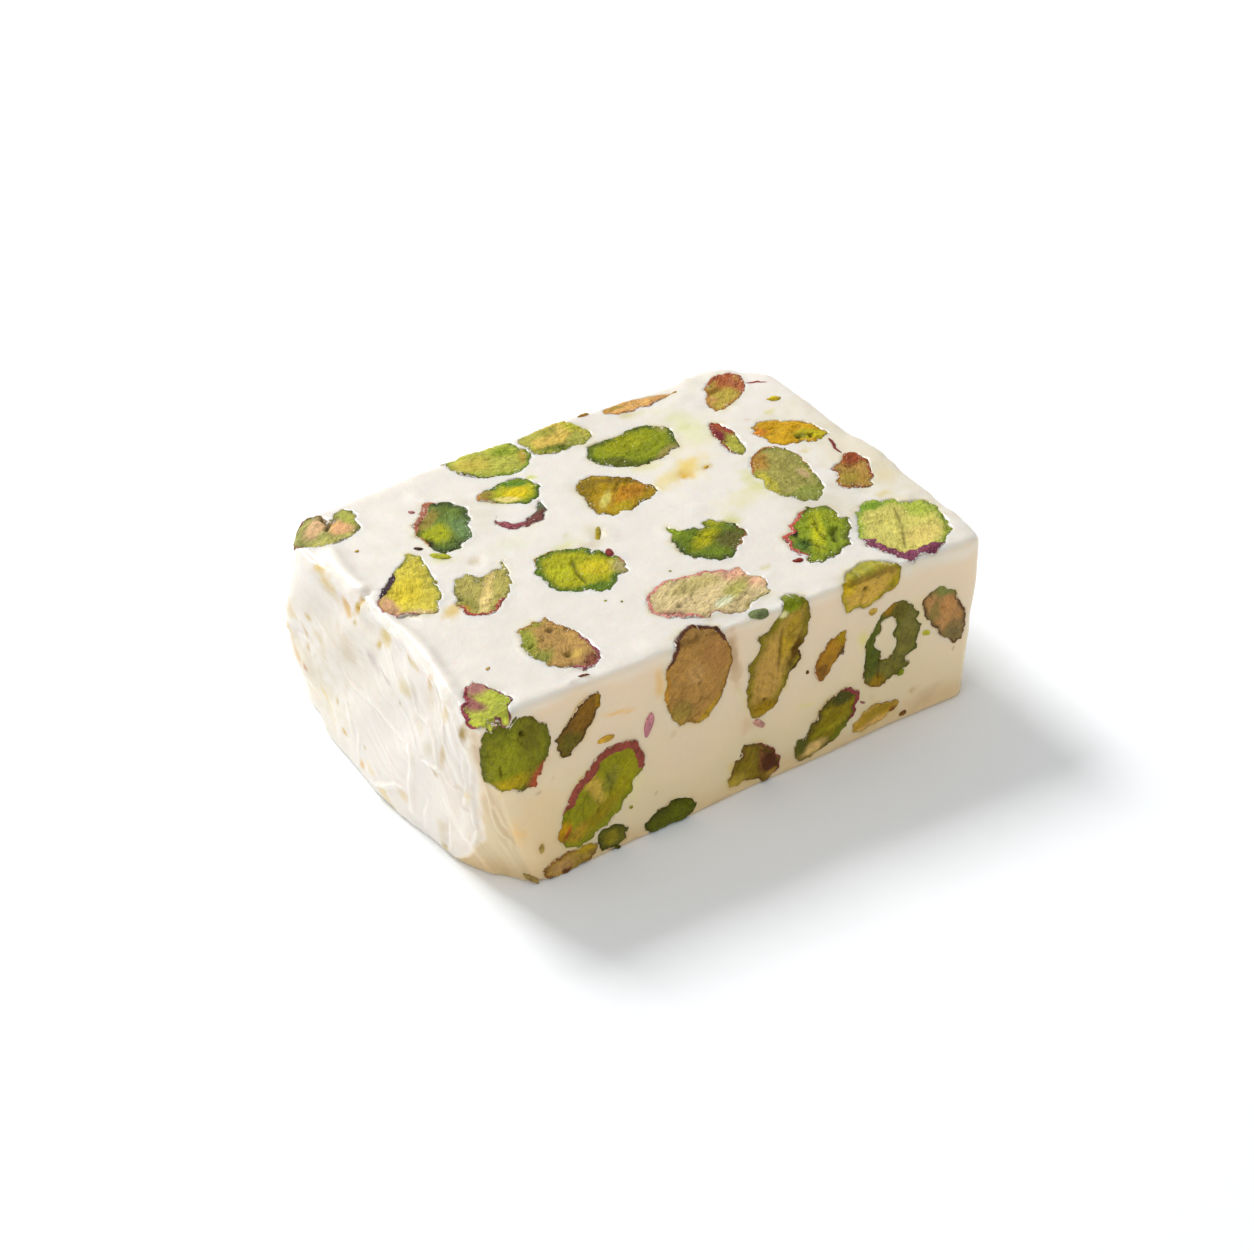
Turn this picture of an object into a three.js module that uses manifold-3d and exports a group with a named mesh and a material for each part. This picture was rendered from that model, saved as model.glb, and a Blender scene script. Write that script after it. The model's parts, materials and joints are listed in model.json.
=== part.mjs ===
// A bar of soft nougat with whole pistachios, cut so that the knife has sliced through the nuts.
// Millimetres, +Z up. The bar lies flat, its long side along X, its torn end towards -X.
// The origin is the middle of the bar's bounding box, at the bottom.

import * as THREE from 'three';
import { mergeVertices } from 'three/addons/utils/BufferGeometryUtils.js';
import Module from 'manifold-3d';

const wasm = await Module();
wasm.setup();

// ---------------------------------------------------------------- driving dimensions

const HEIGHT = 21.2;          // the bar's thickness
const TOP_ROUNDING = 0.6;     // how far the top edges are rounded off
const FLOOR_ROUNDING = 0.35;  // how far the bottom edges are rounded off
const GAP = 0.3;              // clearance between a nut and the nougat around it
const PROUD = 2.4;            // how far a nut's form starts outside the bar before it is sliced flush
const NUT_DEPTH = 3.0;        // usual depth of a sliced nut below the cut face
const NUT_SHOULDER = 0.45;    // share of a nut's depth where its wall turns inwards
const NUT_DRAFT = 0.045;      // how far the wall draws in down to the shoulder, of the nut's width
const NUT_HEEL = 0.24;        // how far the nut's underside draws in, of the nut's width
const OUTLINE_DENSITY = 0.9;  // outline segments for each millimetre of length plus width
const OUTLINE_SEGMENTS = [9, 17];
const SCATTER_SEED = 20;      // seed for the nuts on the faces that were cut unseen

// The bar's plan outline has five corners, because the near corner is a bevel that widens
// towards the floor. Each is [x, y, rounding]. bow is how far a side swells out between corners.
const LEVELS = [
  {
    z: 0,
    tornNear: [-32.3, -16.8, 1.6], frontNear: [-27.3, -24.3, 0.8], frontFar: [31.2, -22.7, 2.4],
    backFar: [31.2, 23.0, 3.5], tornBack: [-28.9, 23.7, 2.6],
    bow: { bevel: 0.2, front: -0.3, far: 0.6, back: 0.2, torn: 2.6 },
  },
  {
    z: 7,
    tornNear: [-33.1, -17.8, 1.4], frontNear: [-29.4, -23.3, 0.9], frontFar: [31.2, -22.9, 1.6],
    backFar: [31.4, 23.2, 4.2], tornBack: [-32.0, 22.6, 3.0],
    bow: { bevel: 0.2, front: -0.4, far: 0.8, back: 0.2, torn: 0.7 },
  },
  {
    z: 14,
    tornNear: [-33.3, -18.6, 1.1], frontNear: [-30.9, -22.1, 0.8], frontFar: [31.0, -23.0, 1.2],
    backFar: [31.6, 23.1, 4.6], tornBack: [-33.7, 21.4, 3.4],
    bow: { bevel: 0.1, front: -0.5, far: 0.9, back: 0.0, torn: -1.4 },
  },
  {
    z: HEIGHT,
    tornNear: [-33.4, -19.6, 0.6], frontNear: [-32.0, -21.1, 0.5], frontFar: [30.8, -23.1, 0.9],
    backFar: [31.7, 22.9, 5.2], tornBack: [-32.5, 22.0, 4.4],
    bow: { bevel: 0.0, front: -0.6, far: 0.7, back: -0.1, torn: -2.3 },
  },
];
const RINGS = [
  { z: 0, inset: FLOOR_ROUNDING }, { z: FLOOR_ROUNDING, inset: 0 }, { z: 7, inset: 0 },
  { z: 14, inset: 0 }, { z: HEIGHT - TOP_ROUNDING, inset: 0 }, { z: HEIGHT, inset: TOP_ROUNDING },
];

// The torn end is stretched into slanting folds; the other sides are cut and only slightly uneven.
const FOLDS = { depth: 0.45, pitch: 9.5, slant: 0.55 };
const CUT_WAVE = { depth: 0.18, pitch: 17 };

// Sides in order round the plan, anticlockwise from above: the corner where each starts,
// the corner where it ends, and the number of segments along it.
const SIDES = [
  { name: 'bevel', from: 'tornNear', to: 'frontNear', segments: 1 },
  { name: 'front', from: 'frontNear', to: 'frontFar', segments: 6 },
  { name: 'far', from: 'frontFar', to: 'backFar', segments: 5 },
  { name: 'back', from: 'backFar', to: 'tornBack', segments: 5 },
  { name: 'torn', from: 'tornBack', to: 'tornNear', segments: 7 },
];

// Faces that nuts are placed on: the face's own axes and a point on it. A nut's place is given
// along u and v, and its depth is measured against the face's normal, u x v.
const AXIS = {
  x: new THREE.Vector3(1, 0, 0), y: new THREE.Vector3(0, 1, 0), z: new THREE.Vector3(0, 0, 1),
};
const FACES = {
  top: { origin: [0, 0, HEIGHT], u: AXIS.x, v: AXIS.y },
  front: { origin: [0, -21.9, 0], u: AXIS.x, v: AXIS.z },
  back: { origin: [0, 22.2, 0], u: AXIS.x.clone().negate(), v: AXIS.z },
  far: { origin: [30.9, 0, 0], u: AXIS.y, v: AXIS.z },
  base: { origin: [0, 0, 0], u: AXIS.x, v: AXIS.y.clone().negate() },
  edge: { origin: [0, -21.7, HEIGHT], u: AXIS.x, v: new THREE.Vector3(0, 1, 1).normalize() },
};

// Colours of the cut nuts, from the fresh green of a thin slice to the brown of the skin.
const TONES = {
  green: 0x6f8a14, lime: 0xa9b52a, deep: 0x4c5a22, olive: 0x8d8b46, pale: 0xb3ab6c,
  golden: 0xa8870f, brown: 0x7a6138, skin: 0x7d4a50, tan: 0xc49a6a,
};
const NOUGAT_COLOUR = 0xf0e9de;
const NOUGAT_ROUGHNESS = 0.38;
const NUT_ROUGHNESS = 0.42;

// ---------------------------------------------------------------- the nuts

// at: place on the face. size: length and width of the section. turn: degrees from u to the
// length. Optional: taper widens the far end and narrows the near one, bend curls the length
// through so many degrees, lobes is [count, amount, turn], and each of bumps is
// [direction from u, amount, half width], a notch where the amount is negative.
const NUTS = {
  top: [
    { at: [-27.2, 18.0], size: [9.0, 6.4], turn: 16, bumps: [[66, -0.4, 15]], tone: 'olive' },
    { at: [-16.6, 10.9], size: [10.5, 6.5], turn: 66, taper: 0.1, lobes: [5, 0.04, 20], tone: 'deep' },
    { at: [-7.1, 13.0], size: [7.6, 5.0], turn: -14, taper: 0.5, tone: 'lime' },
    { at: [-7.9, 6.7], size: [10.8, 1.4], turn: 10, bend: 180, taper: -0.2, tone: 'skin' },
    { at: [-5.6, 19.9], size: [10.2, 7.4], turn: -24, taper: 0.1, tone: 'lime' },
    {
      at: [3.1, 19.6], size: [8.8, 6.4], turn: -8, tone: 'pale',
      bumps: [[106, -0.2, 16]], lobes: [3, 0.08, 90],
    },
    {
      at: [9.7, 13.3], size: [11.2, 7.7], turn: -2, tone: 'green',
      bumps: [[97, -0.24, 14]], lobes: [3, 0.05, 30],
    },
    { at: [2.6, 6.3], size: [8.5, 8.3], turn: -30, lobes: [3, 0.15, 15], tone: 'golden' },
    { at: [15.1, 20.6], size: [9.4, 2.4], turn: -3, taper: -0.2, tone: 'tan' },
    { at: [24.9, 17.3], size: [8.8, 4.6], turn: 44, taper: 0.1, tone: 'brown' },
    { at: [19.3, 8.8], size: [7.8, 2.8], turn: 80, taper: -0.1, tone: 'skin' },
    { at: [25.8, 5.9], size: [9.0, 5.4], turn: -38, lobes: [4, 0.05, 0], tone: 'golden' },
    { at: [20.3, -1.1], size: [12.3, 6.7], turn: 80, lobes: [3, 0.06, 200], tone: 'olive' },
    { at: [26.5, -5.4], size: [8.4, 4.2], turn: 54, bumps: [[232, -0.2, 16]], tone: 'brown' },
    {
      at: [6.1, -7.3], size: [8.6, 7.4], turn: 15, tone: 'green',
      bumps: [[127, 0.44, 19], [96, -0.42, 12], [50, 0.16, 16]],
    },
    { at: [16.3, -12.8], size: [11.2, 6.0], turn: 52, lobes: [4, 0.05, 10], tone: 'green' },
    { at: [24.7, -16.4], size: [12.4, 10.4], turn: 62, bumps: [[48, -0.17, 16]], tone: 'lime' },
    { at: [-25.5, 3.1], size: [11.6, 6.4], turn: 59, taper: -0.3, lobes: [3, 0.13, 0], tone: 'lime' },
    {
      at: [-19.8, -2.0], size: [9.2, 6.2], turn: 48, tone: 'pale',
      bumps: [[36, 0.32, 13], [54, -0.2, 12], [92, 0.16, 18], [-30, -0.12, 20]],
    },
    { at: [-18.6, -14.2], size: [10.6, 6.7], turn: -76, taper: -0.08, tone: 'brown' },
    { at: [-0.4, -15.4], size: [13.6, 8.3], turn: -11, lobes: [5, 0.03, 0], tone: 'pale' },
    { at: [-8.9, -4.2], size: [9.6, 8.8], turn: -38, lobes: [5, 0.03, 20], tone: 'lime' },
    { at: [-30.0, -18.2], size: [6.6, 5.2], turn: 84, taper: -0.5, tone: 'skin' },
  ],
  edge: [
    { at: [16.2, -1.1], size: [8.0, 5.2], turn: 4, depth: 3.2, lobes: [3, 0.06, 90], tone: 'golden' },
  ],
  front: [
    { at: [-28.5, 15.9], size: [9.2, 8.6], turn: 70, lobes: [5, 0.04, 0], tone: 'green' },
    { at: [-20.7, 16.4], size: [8.4, 3.1], turn: 50, depth: 2.2, taper: -0.14, tone: 'deep' },
    { at: [-18.9, 7.6], size: [12.8, 6.8], turn: 39, taper: 0.08, tone: 'green' },
    { at: [-18.0, 2.0], size: [3.3, 3.1], turn: 0, depth: 2.0, tone: 'deep' },
    { at: [-10.7, 1.4], size: [7.0, 2.9], turn: 1, depth: 2.0, tone: 'deep' },
    { at: [-23.4, 1.3], size: [6.8, 2.4], turn: 2, depth: 2.0, tone: 'olive' },
    { at: [-6.0, 16.9], size: [11.6, 8.7], turn: 74, lobes: [5, 0.03, 0], tone: 'brown' },
    { at: [4.2, 15.1], size: [14.6, 6.0], turn: 64, depth: 2.6, taper: -0.05, tone: 'golden' },
    { at: [10.8, 12.9], size: [6.6, 2.5], turn: 56, depth: 2.0, bend: -24, tone: 'brown' },
    {
      at: [0.9, 3.0], size: [6.6, 4.6], turn: -40, depth: 2.4, tone: 'deep',
      bumps: [[200, 0.5, 16], [250, -0.3, 14]],
    },
    { at: [10.4, 4.2], size: [10.2, 5.0], turn: 33, taper: 0.12, tone: 'deep' },
    {
      at: [18.9, 11.4], size: [10.9, 7.0], turn: 71, tone: 'deep',
      hole: { at: [18.4, 12.2], size: [5.6, 2.3], turn: 85 },
    },
    { at: [26.2, 12.5], size: [9.2, 4.4], turn: -60, taper: -0.15, tone: 'brown' },
    { at: [17.1, 2.6], size: [6.4, 2.7], turn: 11, depth: 2.0, tone: 'pale' },
  ],
};

// Faces cut out of sight get nuts of the same kind, spread by a seeded rule over these areas.
const SCATTER = [
  { face: 'back', count: 8, u: [-25, 25], v: [3.4, 16.6], clearing: 0 },
  { face: 'far', count: 6, u: [-18, 15], v: [3.4, 17.6], clearing: 0 },
  { face: 'base', count: 7, u: [-26, 26], v: [-18, 18], clearing: 8 },
];
const SCATTER_LENGTH = [5.5, 9.5];
const SCATTER_SLIMNESS = [0.5, 0.82];
const SCATTER_SPACING = 1.2;
const SCATTER_TRIES = 4000;
const SCATTER_TONES = ['green', 'lime', 'olive', 'pale', 'golden', 'brown', 'deep'];

// ---------------------------------------------------------------- helpers

const radians = THREE.MathUtils.degToRad;

/** Closed solid through rings of equal point count, each an outline at its own height. */
function loft(outlines, heights) {
  const count = outlines[0].length;
  const position = [];
  outlines.forEach((outline, ring) => {
    outline.forEach((point) => position.push(point.x, point.y, heights[ring]));
  });
  const index = [];
  for (let ring = 0; ring + 1 < outlines.length; ring += 1) {
    for (let i = 0; i < count; i += 1) {
      const a = ring * count + i;
      const b = ring * count + (i + 1) % count;
      index.push(a, b, b + count, a, b + count, a + count);
    }
  }
  const topStart = (outlines.length - 1) * count;
  THREE.ShapeUtils.triangulateShape(outlines[0], []).forEach(([a, b, c]) => index.push(a, c, b));
  THREE.ShapeUtils.triangulateShape(outlines[outlines.length - 1], [])
    .forEach(([a, b, c]) => index.push(topStart + a, topStart + b, topStart + c));
  const geometry = new THREE.BufferGeometry();
  geometry.setAttribute('position', new THREE.Float32BufferAttribute(position, 3));
  geometry.setIndex(index);
  return geometry;
}

/** A geometry as a solid that can be joined and cut. */
function toSolid(geometry) {
  const bare = geometry.clone();
  bare.deleteAttribute('normal');
  bare.deleteAttribute('uv');
  const merged = mergeVertices(bare, 1e-5);
  return new wasm.Manifold(new wasm.Mesh({
    numProp: 3,
    vertProperties: new Float32Array(merged.attributes.position.array),
    triVerts: new Uint32Array(merged.index.array),
  }));
}

/** A solid back as a geometry, with flat faces. */
function toGeometry(solid) {
  const mesh = solid.getMesh();
  const geometry = new THREE.BufferGeometry();
  geometry.setAttribute('position', new THREE.BufferAttribute(mesh.vertProperties, 3));
  geometry.setIndex(new THREE.BufferAttribute(mesh.triVerts, 1));
  geometry.computeVertexNormals();
  return geometry;
}

/** The largest separate piece of a solid, so that no scrap is left loose. */
function largestPiece(solid) {
  const pieces = solid.decompose();
  return pieces.reduce((best, piece) => (piece.volume() > best.volume() ? piece : best));
}

/** Repeatable random numbers from 0 to 1. */
function seededRandom(seed) {
  let state = seed;
  return () => {
    state = (state + 0x6d2b79f5) | 0;
    let mixed = Math.imul(state ^ (state >>> 15), 1 | state);
    mixed = (mixed + Math.imul(mixed ^ (mixed >>> 7), 61 | mixed)) ^ mixed;
    return ((mixed ^ (mixed >>> 14)) >>> 0) / 4294967296;
  };
}

// ---------------------------------------------------------------- the block of nougat

/** Corners and bows at one height, straight between the levels above and below. */
function levelAt(z) {
  const upper = Math.max(1, LEVELS.findIndex((level) => level.z >= z));
  const low = LEVELS[upper - 1];
  const high = LEVELS[upper];
  const t = (z - low.z) / (high.z - low.z);
  const level = { bow: {} };
  SIDES.forEach(({ name, from }) => {
    level[from] = low[from].map((value, k) => THREE.MathUtils.lerp(value, high[from][k], t));
    level.bow[name] = THREE.MathUtils.lerp(low.bow[name], high.bow[name], t);
  });
  return level;
}

/** How far the surface of a side swells out at a place along it. */
function swell(name, bow, t, along, z) {
  const arch = 4 * t * (1 - t);
  if (name === 'torn') {
    const phase = (along + FOLDS.slant * z) / FOLDS.pitch;
    return bow * arch + FOLDS.depth * Math.sin(2 * Math.PI * phase) * Math.min(1, 2 * arch);
  }
  const wave = CUT_WAVE.depth * Math.sin(2 * Math.PI * along / CUT_WAVE.pitch);
  return bow * arch + wave * arch;
}

/** The bar's plan outline at one height, drawn in by the inset. */
function blockOutline(z, inset) {
  const level = levelAt(z);
  const outline = [];
  SIDES.forEach(({ name, from, to, segments }) => {
    const start = new THREE.Vector2(level[from][0], level[from][1]);
    const end = new THREE.Vector2(level[to][0], level[to][1]);
    const length = start.distanceTo(end);
    const along = end.clone().sub(start).divideScalar(length);
    const outward = new THREE.Vector2(along.y, -along.x);
    const first = level[from][2] / length;
    const last = 1 - level[to][2] / length;
    for (let i = 0; i <= segments; i += 1) {
      const t = THREE.MathUtils.lerp(first, last, i / segments);
      const out = swell(name, level.bow[name], t, t * length, z) - inset;
      outline.push(start.clone().addScaledVector(along, t * length).addScaledVector(outward, out));
    }
  });
  return outline;
}

function makeBlock() {
  const outlines = RINGS.map(({ z, inset }) => blockOutline(z, inset));
  return toSolid(loft(outlines, RINGS.map(({ z }) => z)));
}

// ---------------------------------------------------------------- one nut

/** Section of a nut in its face's plane, drawn in by the inset or out where it is negative. */
function nutOutline(nut, inset) {
  const length = nut.size[0] / 2 - inset;
  const width = nut.size[1] / 2 - inset;
  const wanted = Math.round(OUTLINE_DENSITY * (nut.size[0] + nut.size[1]));
  const segments = THREE.MathUtils.clamp(wanted, ...OUTLINE_SEGMENTS);
  const turn = radians(nut.turn);
  const outline = [];
  for (let i = 0; i < segments; i += 1) {
    const angle = 2 * Math.PI * i / segments;
    let reach = 1;
    if (nut.lobes) {
      const [count, amount, phase] = nut.lobes;
      reach += amount * Math.cos(count * (angle - radians(phase)));
    }
    (nut.bumps ?? []).forEach(([place, amount, halfWidth]) => {
      const toward = radians(place) - turn;
      const peak = Math.atan2(length * Math.sin(toward), width * Math.cos(toward));
      const away = Math.atan2(Math.sin(angle - peak), Math.cos(angle - peak));
      reach += amount * Math.exp(-((away / radians(halfWidth)) ** 2));
    });
    let u = length * reach * Math.cos(angle);
    let v = width * reach * Math.sin(angle) * (1 + (nut.taper ?? 0) * Math.cos(angle));
    if (nut.bend) {
      const radius = nut.size[0] / radians(nut.bend);
      const swept = u / radius;
      u = (radius - v) * Math.sin(swept);
      v = radius - (radius - v) * Math.cos(swept);
    }
    outline.push(new THREE.Vector2(
      nut.at[0] + u * Math.cos(turn) - v * Math.sin(turn),
      nut.at[1] + u * Math.sin(turn) + v * Math.cos(turn),
    ));
  }
  return outline;
}

/** The face's plane as a placement: u, v and the normal, at the face's origin. */
function facePlacement(name) {
  const { origin, u, v } = FACES[name];
  const normal = new THREE.Vector3().crossVectors(u, v);
  return new THREE.Matrix4().makeBasis(u, v, normal).setPosition(...origin);
}

/** A nut's form, narrowing below the face and running on above it, to be sliced by the face. */
function nutForm(face, nut, grow) {
  const depth = nut.depth ?? NUT_DEPTH;
  const shoulder = NUT_SHOULDER * depth;
  const draft = NUT_DRAFT * nut.size[1];
  const insets = [NUT_HEEL * nut.size[1], draft, -draft * PROUD / shoulder];
  const heights = [-depth - grow, -shoulder, PROUD];
  const outlines = insets.map((inset) => nutOutline(nut, inset - grow));
  return toSolid(loft(outlines, heights).applyMatrix4(facePlacement(face)));
}

/** A plug of nougat that stands in a nut's hole. */
function plugForm(face, nut, grow) {
  const depth = (nut.depth ?? NUT_DEPTH) + 1;
  const outline = nutOutline({ ...nut.hole, depth }, -grow);
  return toSolid(loft([outline, outline], [-depth, PROUD + 1]).applyMatrix4(facePlacement(face)));
}

// ---------------------------------------------------------------- nuts on the unseen faces

/** Whether a new nut stands clear of those already on the face. */
function standsClear(nut, others) {
  return others.every((other) => {
    const distance = Math.hypot(nut.at[0] - other.at[0], nut.at[1] - other.at[1]);
    return distance > (nut.size[0] + other.size[0]) / 2 + SCATTER_SPACING;
  });
}

function scatterNuts() {
  const random = seededRandom(SCATTER_SEED);
  const within = ([low, high]) => low + (high - low) * random();
  const placed = {};
  SCATTER.forEach(({ face, count, u, v, clearing }) => {
    const nuts = [];
    const keepOut = clearing > 0 ? [{ at: [0, 0], size: [clearing, clearing] }] : [];
    for (let attempt = 0; attempt < SCATTER_TRIES && nuts.length < count; attempt += 1) {
      const length = within(SCATTER_LENGTH);
      const nut = {
        at: [within(u), within(v)],
        size: [length, length * within(SCATTER_SLIMNESS)],
        turn: within([0, 180]),
        taper: within([-0.2, 0.2]),
        lobes: [3, within([0, 0.07]), within([0, 120])],
        tone: SCATTER_TONES[Math.floor(random() * SCATTER_TONES.length)],
      };
      if (standsClear(nut, [...nuts, ...keepOut])) {
        nuts.push(nut);
      }
    }
    placed[face] = nuts;
  });
  return placed;
}

// ---------------------------------------------------------------- the bar

function material(colour, roughness) {
  return new THREE.MeshStandardMaterial({ color: colour, roughness, metalness: 0 });
}

function namedMesh(name, solid, finish) {
  const mesh = new THREE.Mesh(toGeometry(solid), finish);
  mesh.name = name;
  return mesh;
}

function makeBar() {
  const bar = new THREE.Group();
  const block = makeBlock();
  const everyNut = { ...NUTS, ...scatterNuts() };
  let nougat = block;
  let taken = null;
  Object.entries(everyNut).forEach(([face, nuts]) => {
    nuts.forEach((nut, i) => {
      let slice = nutForm(face, nut, 0).intersect(block);
      let pocket = nutForm(face, nut, GAP);
      if (nut.hole) {
        slice = slice.subtract(plugForm(face, nut, 0));
        pocket = pocket.subtract(plugForm(face, nut, -GAP));
      }
      if (taken) {
        slice = largestPiece(slice.subtract(taken));
      }
      taken = taken ? taken.add(pocket) : pocket;
      nougat = nougat.subtract(pocket);
      const name = `pistachio_${face}_${String(i + 1).padStart(2, '0')}`;
      bar.add(namedMesh(name, slice, material(TONES[nut.tone], NUT_ROUGHNESS)));
    });
  });
  bar.add(namedMesh('nougat', largestPiece(nougat), material(NOUGAT_COLOUR, NOUGAT_ROUGHNESS)));
  const middle = new THREE.Box3().setFromObject(bar).getCenter(new THREE.Vector3());
  bar.position.set(-middle.x, -middle.y, 0);
  bar.updateMatrixWorld(true);
  return bar;
}

export default makeBar();
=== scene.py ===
# %% [markdown]
# # A bar of nougat, cut through its pistachios
# The bar is soft white nougat with whole pistachios in it. A knife has sliced the top and the sides, and
# the nuts with them; the left end was torn from the slab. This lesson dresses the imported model: the block
# and each nut keep their form, and get the fine relief, colour and gloss of the real sweet.

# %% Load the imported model
import json
import math
from itertools import product

import bmesh
import bpy
import numpy as np
from mathutils import Matrix, Vector
from mathutils.bvhtree import BVHTree
from mathutils.kdtree import KDTree


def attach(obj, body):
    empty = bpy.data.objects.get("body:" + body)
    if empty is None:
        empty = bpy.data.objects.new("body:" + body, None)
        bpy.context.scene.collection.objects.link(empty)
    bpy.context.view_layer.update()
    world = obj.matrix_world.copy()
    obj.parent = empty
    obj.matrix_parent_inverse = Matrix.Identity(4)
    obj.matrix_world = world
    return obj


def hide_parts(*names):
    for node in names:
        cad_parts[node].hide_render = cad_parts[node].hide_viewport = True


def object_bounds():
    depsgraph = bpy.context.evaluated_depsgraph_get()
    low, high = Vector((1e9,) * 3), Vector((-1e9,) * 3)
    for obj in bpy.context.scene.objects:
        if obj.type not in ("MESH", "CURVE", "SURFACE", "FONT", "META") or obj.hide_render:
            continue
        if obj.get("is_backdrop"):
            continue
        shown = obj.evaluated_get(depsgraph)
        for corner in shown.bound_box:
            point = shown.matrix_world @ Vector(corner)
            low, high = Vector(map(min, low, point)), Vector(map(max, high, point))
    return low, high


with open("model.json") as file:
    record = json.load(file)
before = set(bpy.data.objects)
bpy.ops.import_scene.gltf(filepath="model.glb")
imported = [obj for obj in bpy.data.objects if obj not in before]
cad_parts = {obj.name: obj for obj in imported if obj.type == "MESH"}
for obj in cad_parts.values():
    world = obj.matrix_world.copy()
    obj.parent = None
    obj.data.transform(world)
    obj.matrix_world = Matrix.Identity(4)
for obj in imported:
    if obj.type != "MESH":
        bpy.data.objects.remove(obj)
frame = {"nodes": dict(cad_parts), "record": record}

MM = 0.001                       # the numbers below are in millimetres
DRAWING = (0.669, 0.246, 0.0)    # where the drawings' own zero lies in the model
MODEL_BOX = [list(corner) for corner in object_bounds()]
HEIGHT = MODEL_BOX[1][2] / MM
print("nodes", len(frame["nodes"]), "height", round(HEIGHT, 2))

# %% [markdown]
# ## Small helpers
# Blender keeps a mesh as points and faces. Reading all the points at once into one array lets every later
# step, such as a noise or a distance, be written as plain arithmetic on the whole surface.

# %% Read and write points
def read(rows, field, width=1, kind=float):
    """One field of all the rows of a mesh, as an array."""
    flat = np.empty(len(rows) * width, dtype=kind)
    rows.foreach_get(field, flat)
    return flat.reshape(-1, width) if width > 1 else flat


def points_of(mesh):
    """All the points of a mesh, in millimetres."""
    return read(mesh.vertices, "co", 3) / MM


def normals_of(mesh):
    """The direction in which each point faces."""
    return read(mesh.vertex_normals, "vector", 3)


def edges_of(mesh):
    """The two points that each edge joins."""
    return read(mesh.edges, "vertices", 2, np.int32)


def corners_of(mesh):
    """The point at each corner of the faces, face after face."""
    return read(mesh.loops, "vertex_index", 1, np.int32)


def triangles_of(mesh):
    """All the faces of a mesh as triangles."""
    mesh.calc_loop_triangles()
    return read(mesh.loop_triangles, "vertices", 3, np.int32)


def move_points(mesh, points):
    """Puts the points of a mesh at new places, given in millimetres."""
    mesh.vertices.foreach_set("co", (points * MM).ravel())
    mesh.update()


def give(mesh, name, kind, values):
    """Stores one value for each point, for the material to read."""
    layer = mesh.attributes.new(name, kind, "POINT")
    field = {"FLOAT": "value", "FLOAT_VECTOR": "vector", "FLOAT_COLOR": "color"}[kind]
    if kind == "FLOAT_COLOR":
        values = np.column_stack([values, np.ones(len(values))])
    layer.data.foreach_set(field, np.ascontiguousarray(values, dtype=np.float32).ravel())


# %% [markdown]
# A few short functions do most of the painting below: a soft step between two values, a mix of two colours
# and an oval patch. Each works on all the points at once.

# %% Mix values and colours
def fade(start, end, values):
    """0 at start, 1 at end, and a soft slope between."""
    t = np.clip((values - start) / (end - start), 0, 1)
    return t * t * (3 - 2 * t)


def blend(first, second, share):
    """Mixes colours, one share for each point."""
    return first + (second - first) * share[:, None]


def paint(code):
    """A colour such as 'f0e4d2' as the light it sends back, red, green and blue."""
    parts = np.array([int(code[i:i + 2], 16) / 255 for i in (0, 2, 4)])
    return np.where(parts < 0.04045, parts / 12.92, ((parts + 0.055) / 1.055) ** 2.4)


def oval(place, x, y, length, width, angle):
    """How far each place is from the middle of a turned oval, 1 at its outline."""
    turned = math.radians(angle)
    dx, dy = (place - (x, y)).T
    a = (dx * math.cos(turned) + dy * math.sin(turned)) / length
    b = (dy * math.cos(turned) - dx * math.sin(turned)) / width
    return np.hypot(a, b)


# %% [markdown]
# ## Uneven surfaces
# Nothing on a sweet is quite flat or quite even. The unevenness here is value noise: a random number at
# each point of a grid, blended smoothly between them. The random number is worked out from the grid cell
# itself, so that the same bar comes out each time.

# %% Noise
def cell_random(cells, seed):
    """A repeatable random number from 0 to 1 for each row of whole numbers."""
    mixed = (cells[:, 0] * 73856093) ^ (cells[:, 1] * 19349663) ^ (cells[:, 2] * 83492791)
    mixed = (mixed ^ (seed * 668265263)) & 0xFFFFFFFF
    for _ in range(2):
        mixed = ((mixed ^ (mixed >> 16)) * 0x45D9F3B) & 0xFFFFFFFF
    return (mixed ^ (mixed >> 16)) / 0xFFFFFFFF


TURNED = np.array(Matrix.Rotation(0.7, 3, (0.3, 0.5, 0.8)))


def noise(points, size, seed, layers=1):
    """Smooth noise from -1 to 1 whose swells are about size apart, with finer layers on it."""
    total = np.zeros(len(points))
    weight = 1.0
    whole = 0.0
    for layer in range(layers):
        scaled = points @ TURNED / size + 11.7 * layer
        cell = np.floor(scaled).astype(np.int64)
        t = scaled - cell
        t = t * t * (3 - 2 * t)
        value = np.zeros(len(points))
        for corner in product((0, 1), repeat=3):
            share = np.prod(np.where(corner, t, 1 - t), axis=1)
            value += share * cell_random(cell + np.array(corner), seed + 31 * layer)
        total += weight * (2 * value - 1)
        whole += weight
        weight *= 0.5
        size *= 0.47
    return total / whole


def distance_to_line(points, line):
    """Distance of each point from a bent line, and how far along the line it is, from 0 to 1."""
    line = np.array(line, dtype=float)
    best = np.full(len(points), 1e9)
    along = np.zeros(len(points))
    lengths = np.linalg.norm(np.diff(line, axis=0), axis=1)
    done = 0.0
    for start, end, length in zip(line, line[1:], lengths):
        t = np.clip((points - start) @ (end - start) / length ** 2, 0, 1)
        gap = np.linalg.norm(points - (start + t[:, None] * (end - start)), axis=1)
        nearer = gap < best
        best[nearer] = gap[nearer]
        along[nearer] = (done + t[nearer] * length) / lengths.sum()
        done += length
    return best, along


# %% [markdown]
# ## The skin of the bar
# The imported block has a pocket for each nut, with a small gap round it, where the real nut sticks fast. The
# visible nougat needs one unbroken skin. It is felt out from the model: rays go inwards from all round at
# many heights, and each stops at the first solid. A gap swallows a ray or two, so each reading takes the
# outermost of its near neighbours, and then steps back by as much.

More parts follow.
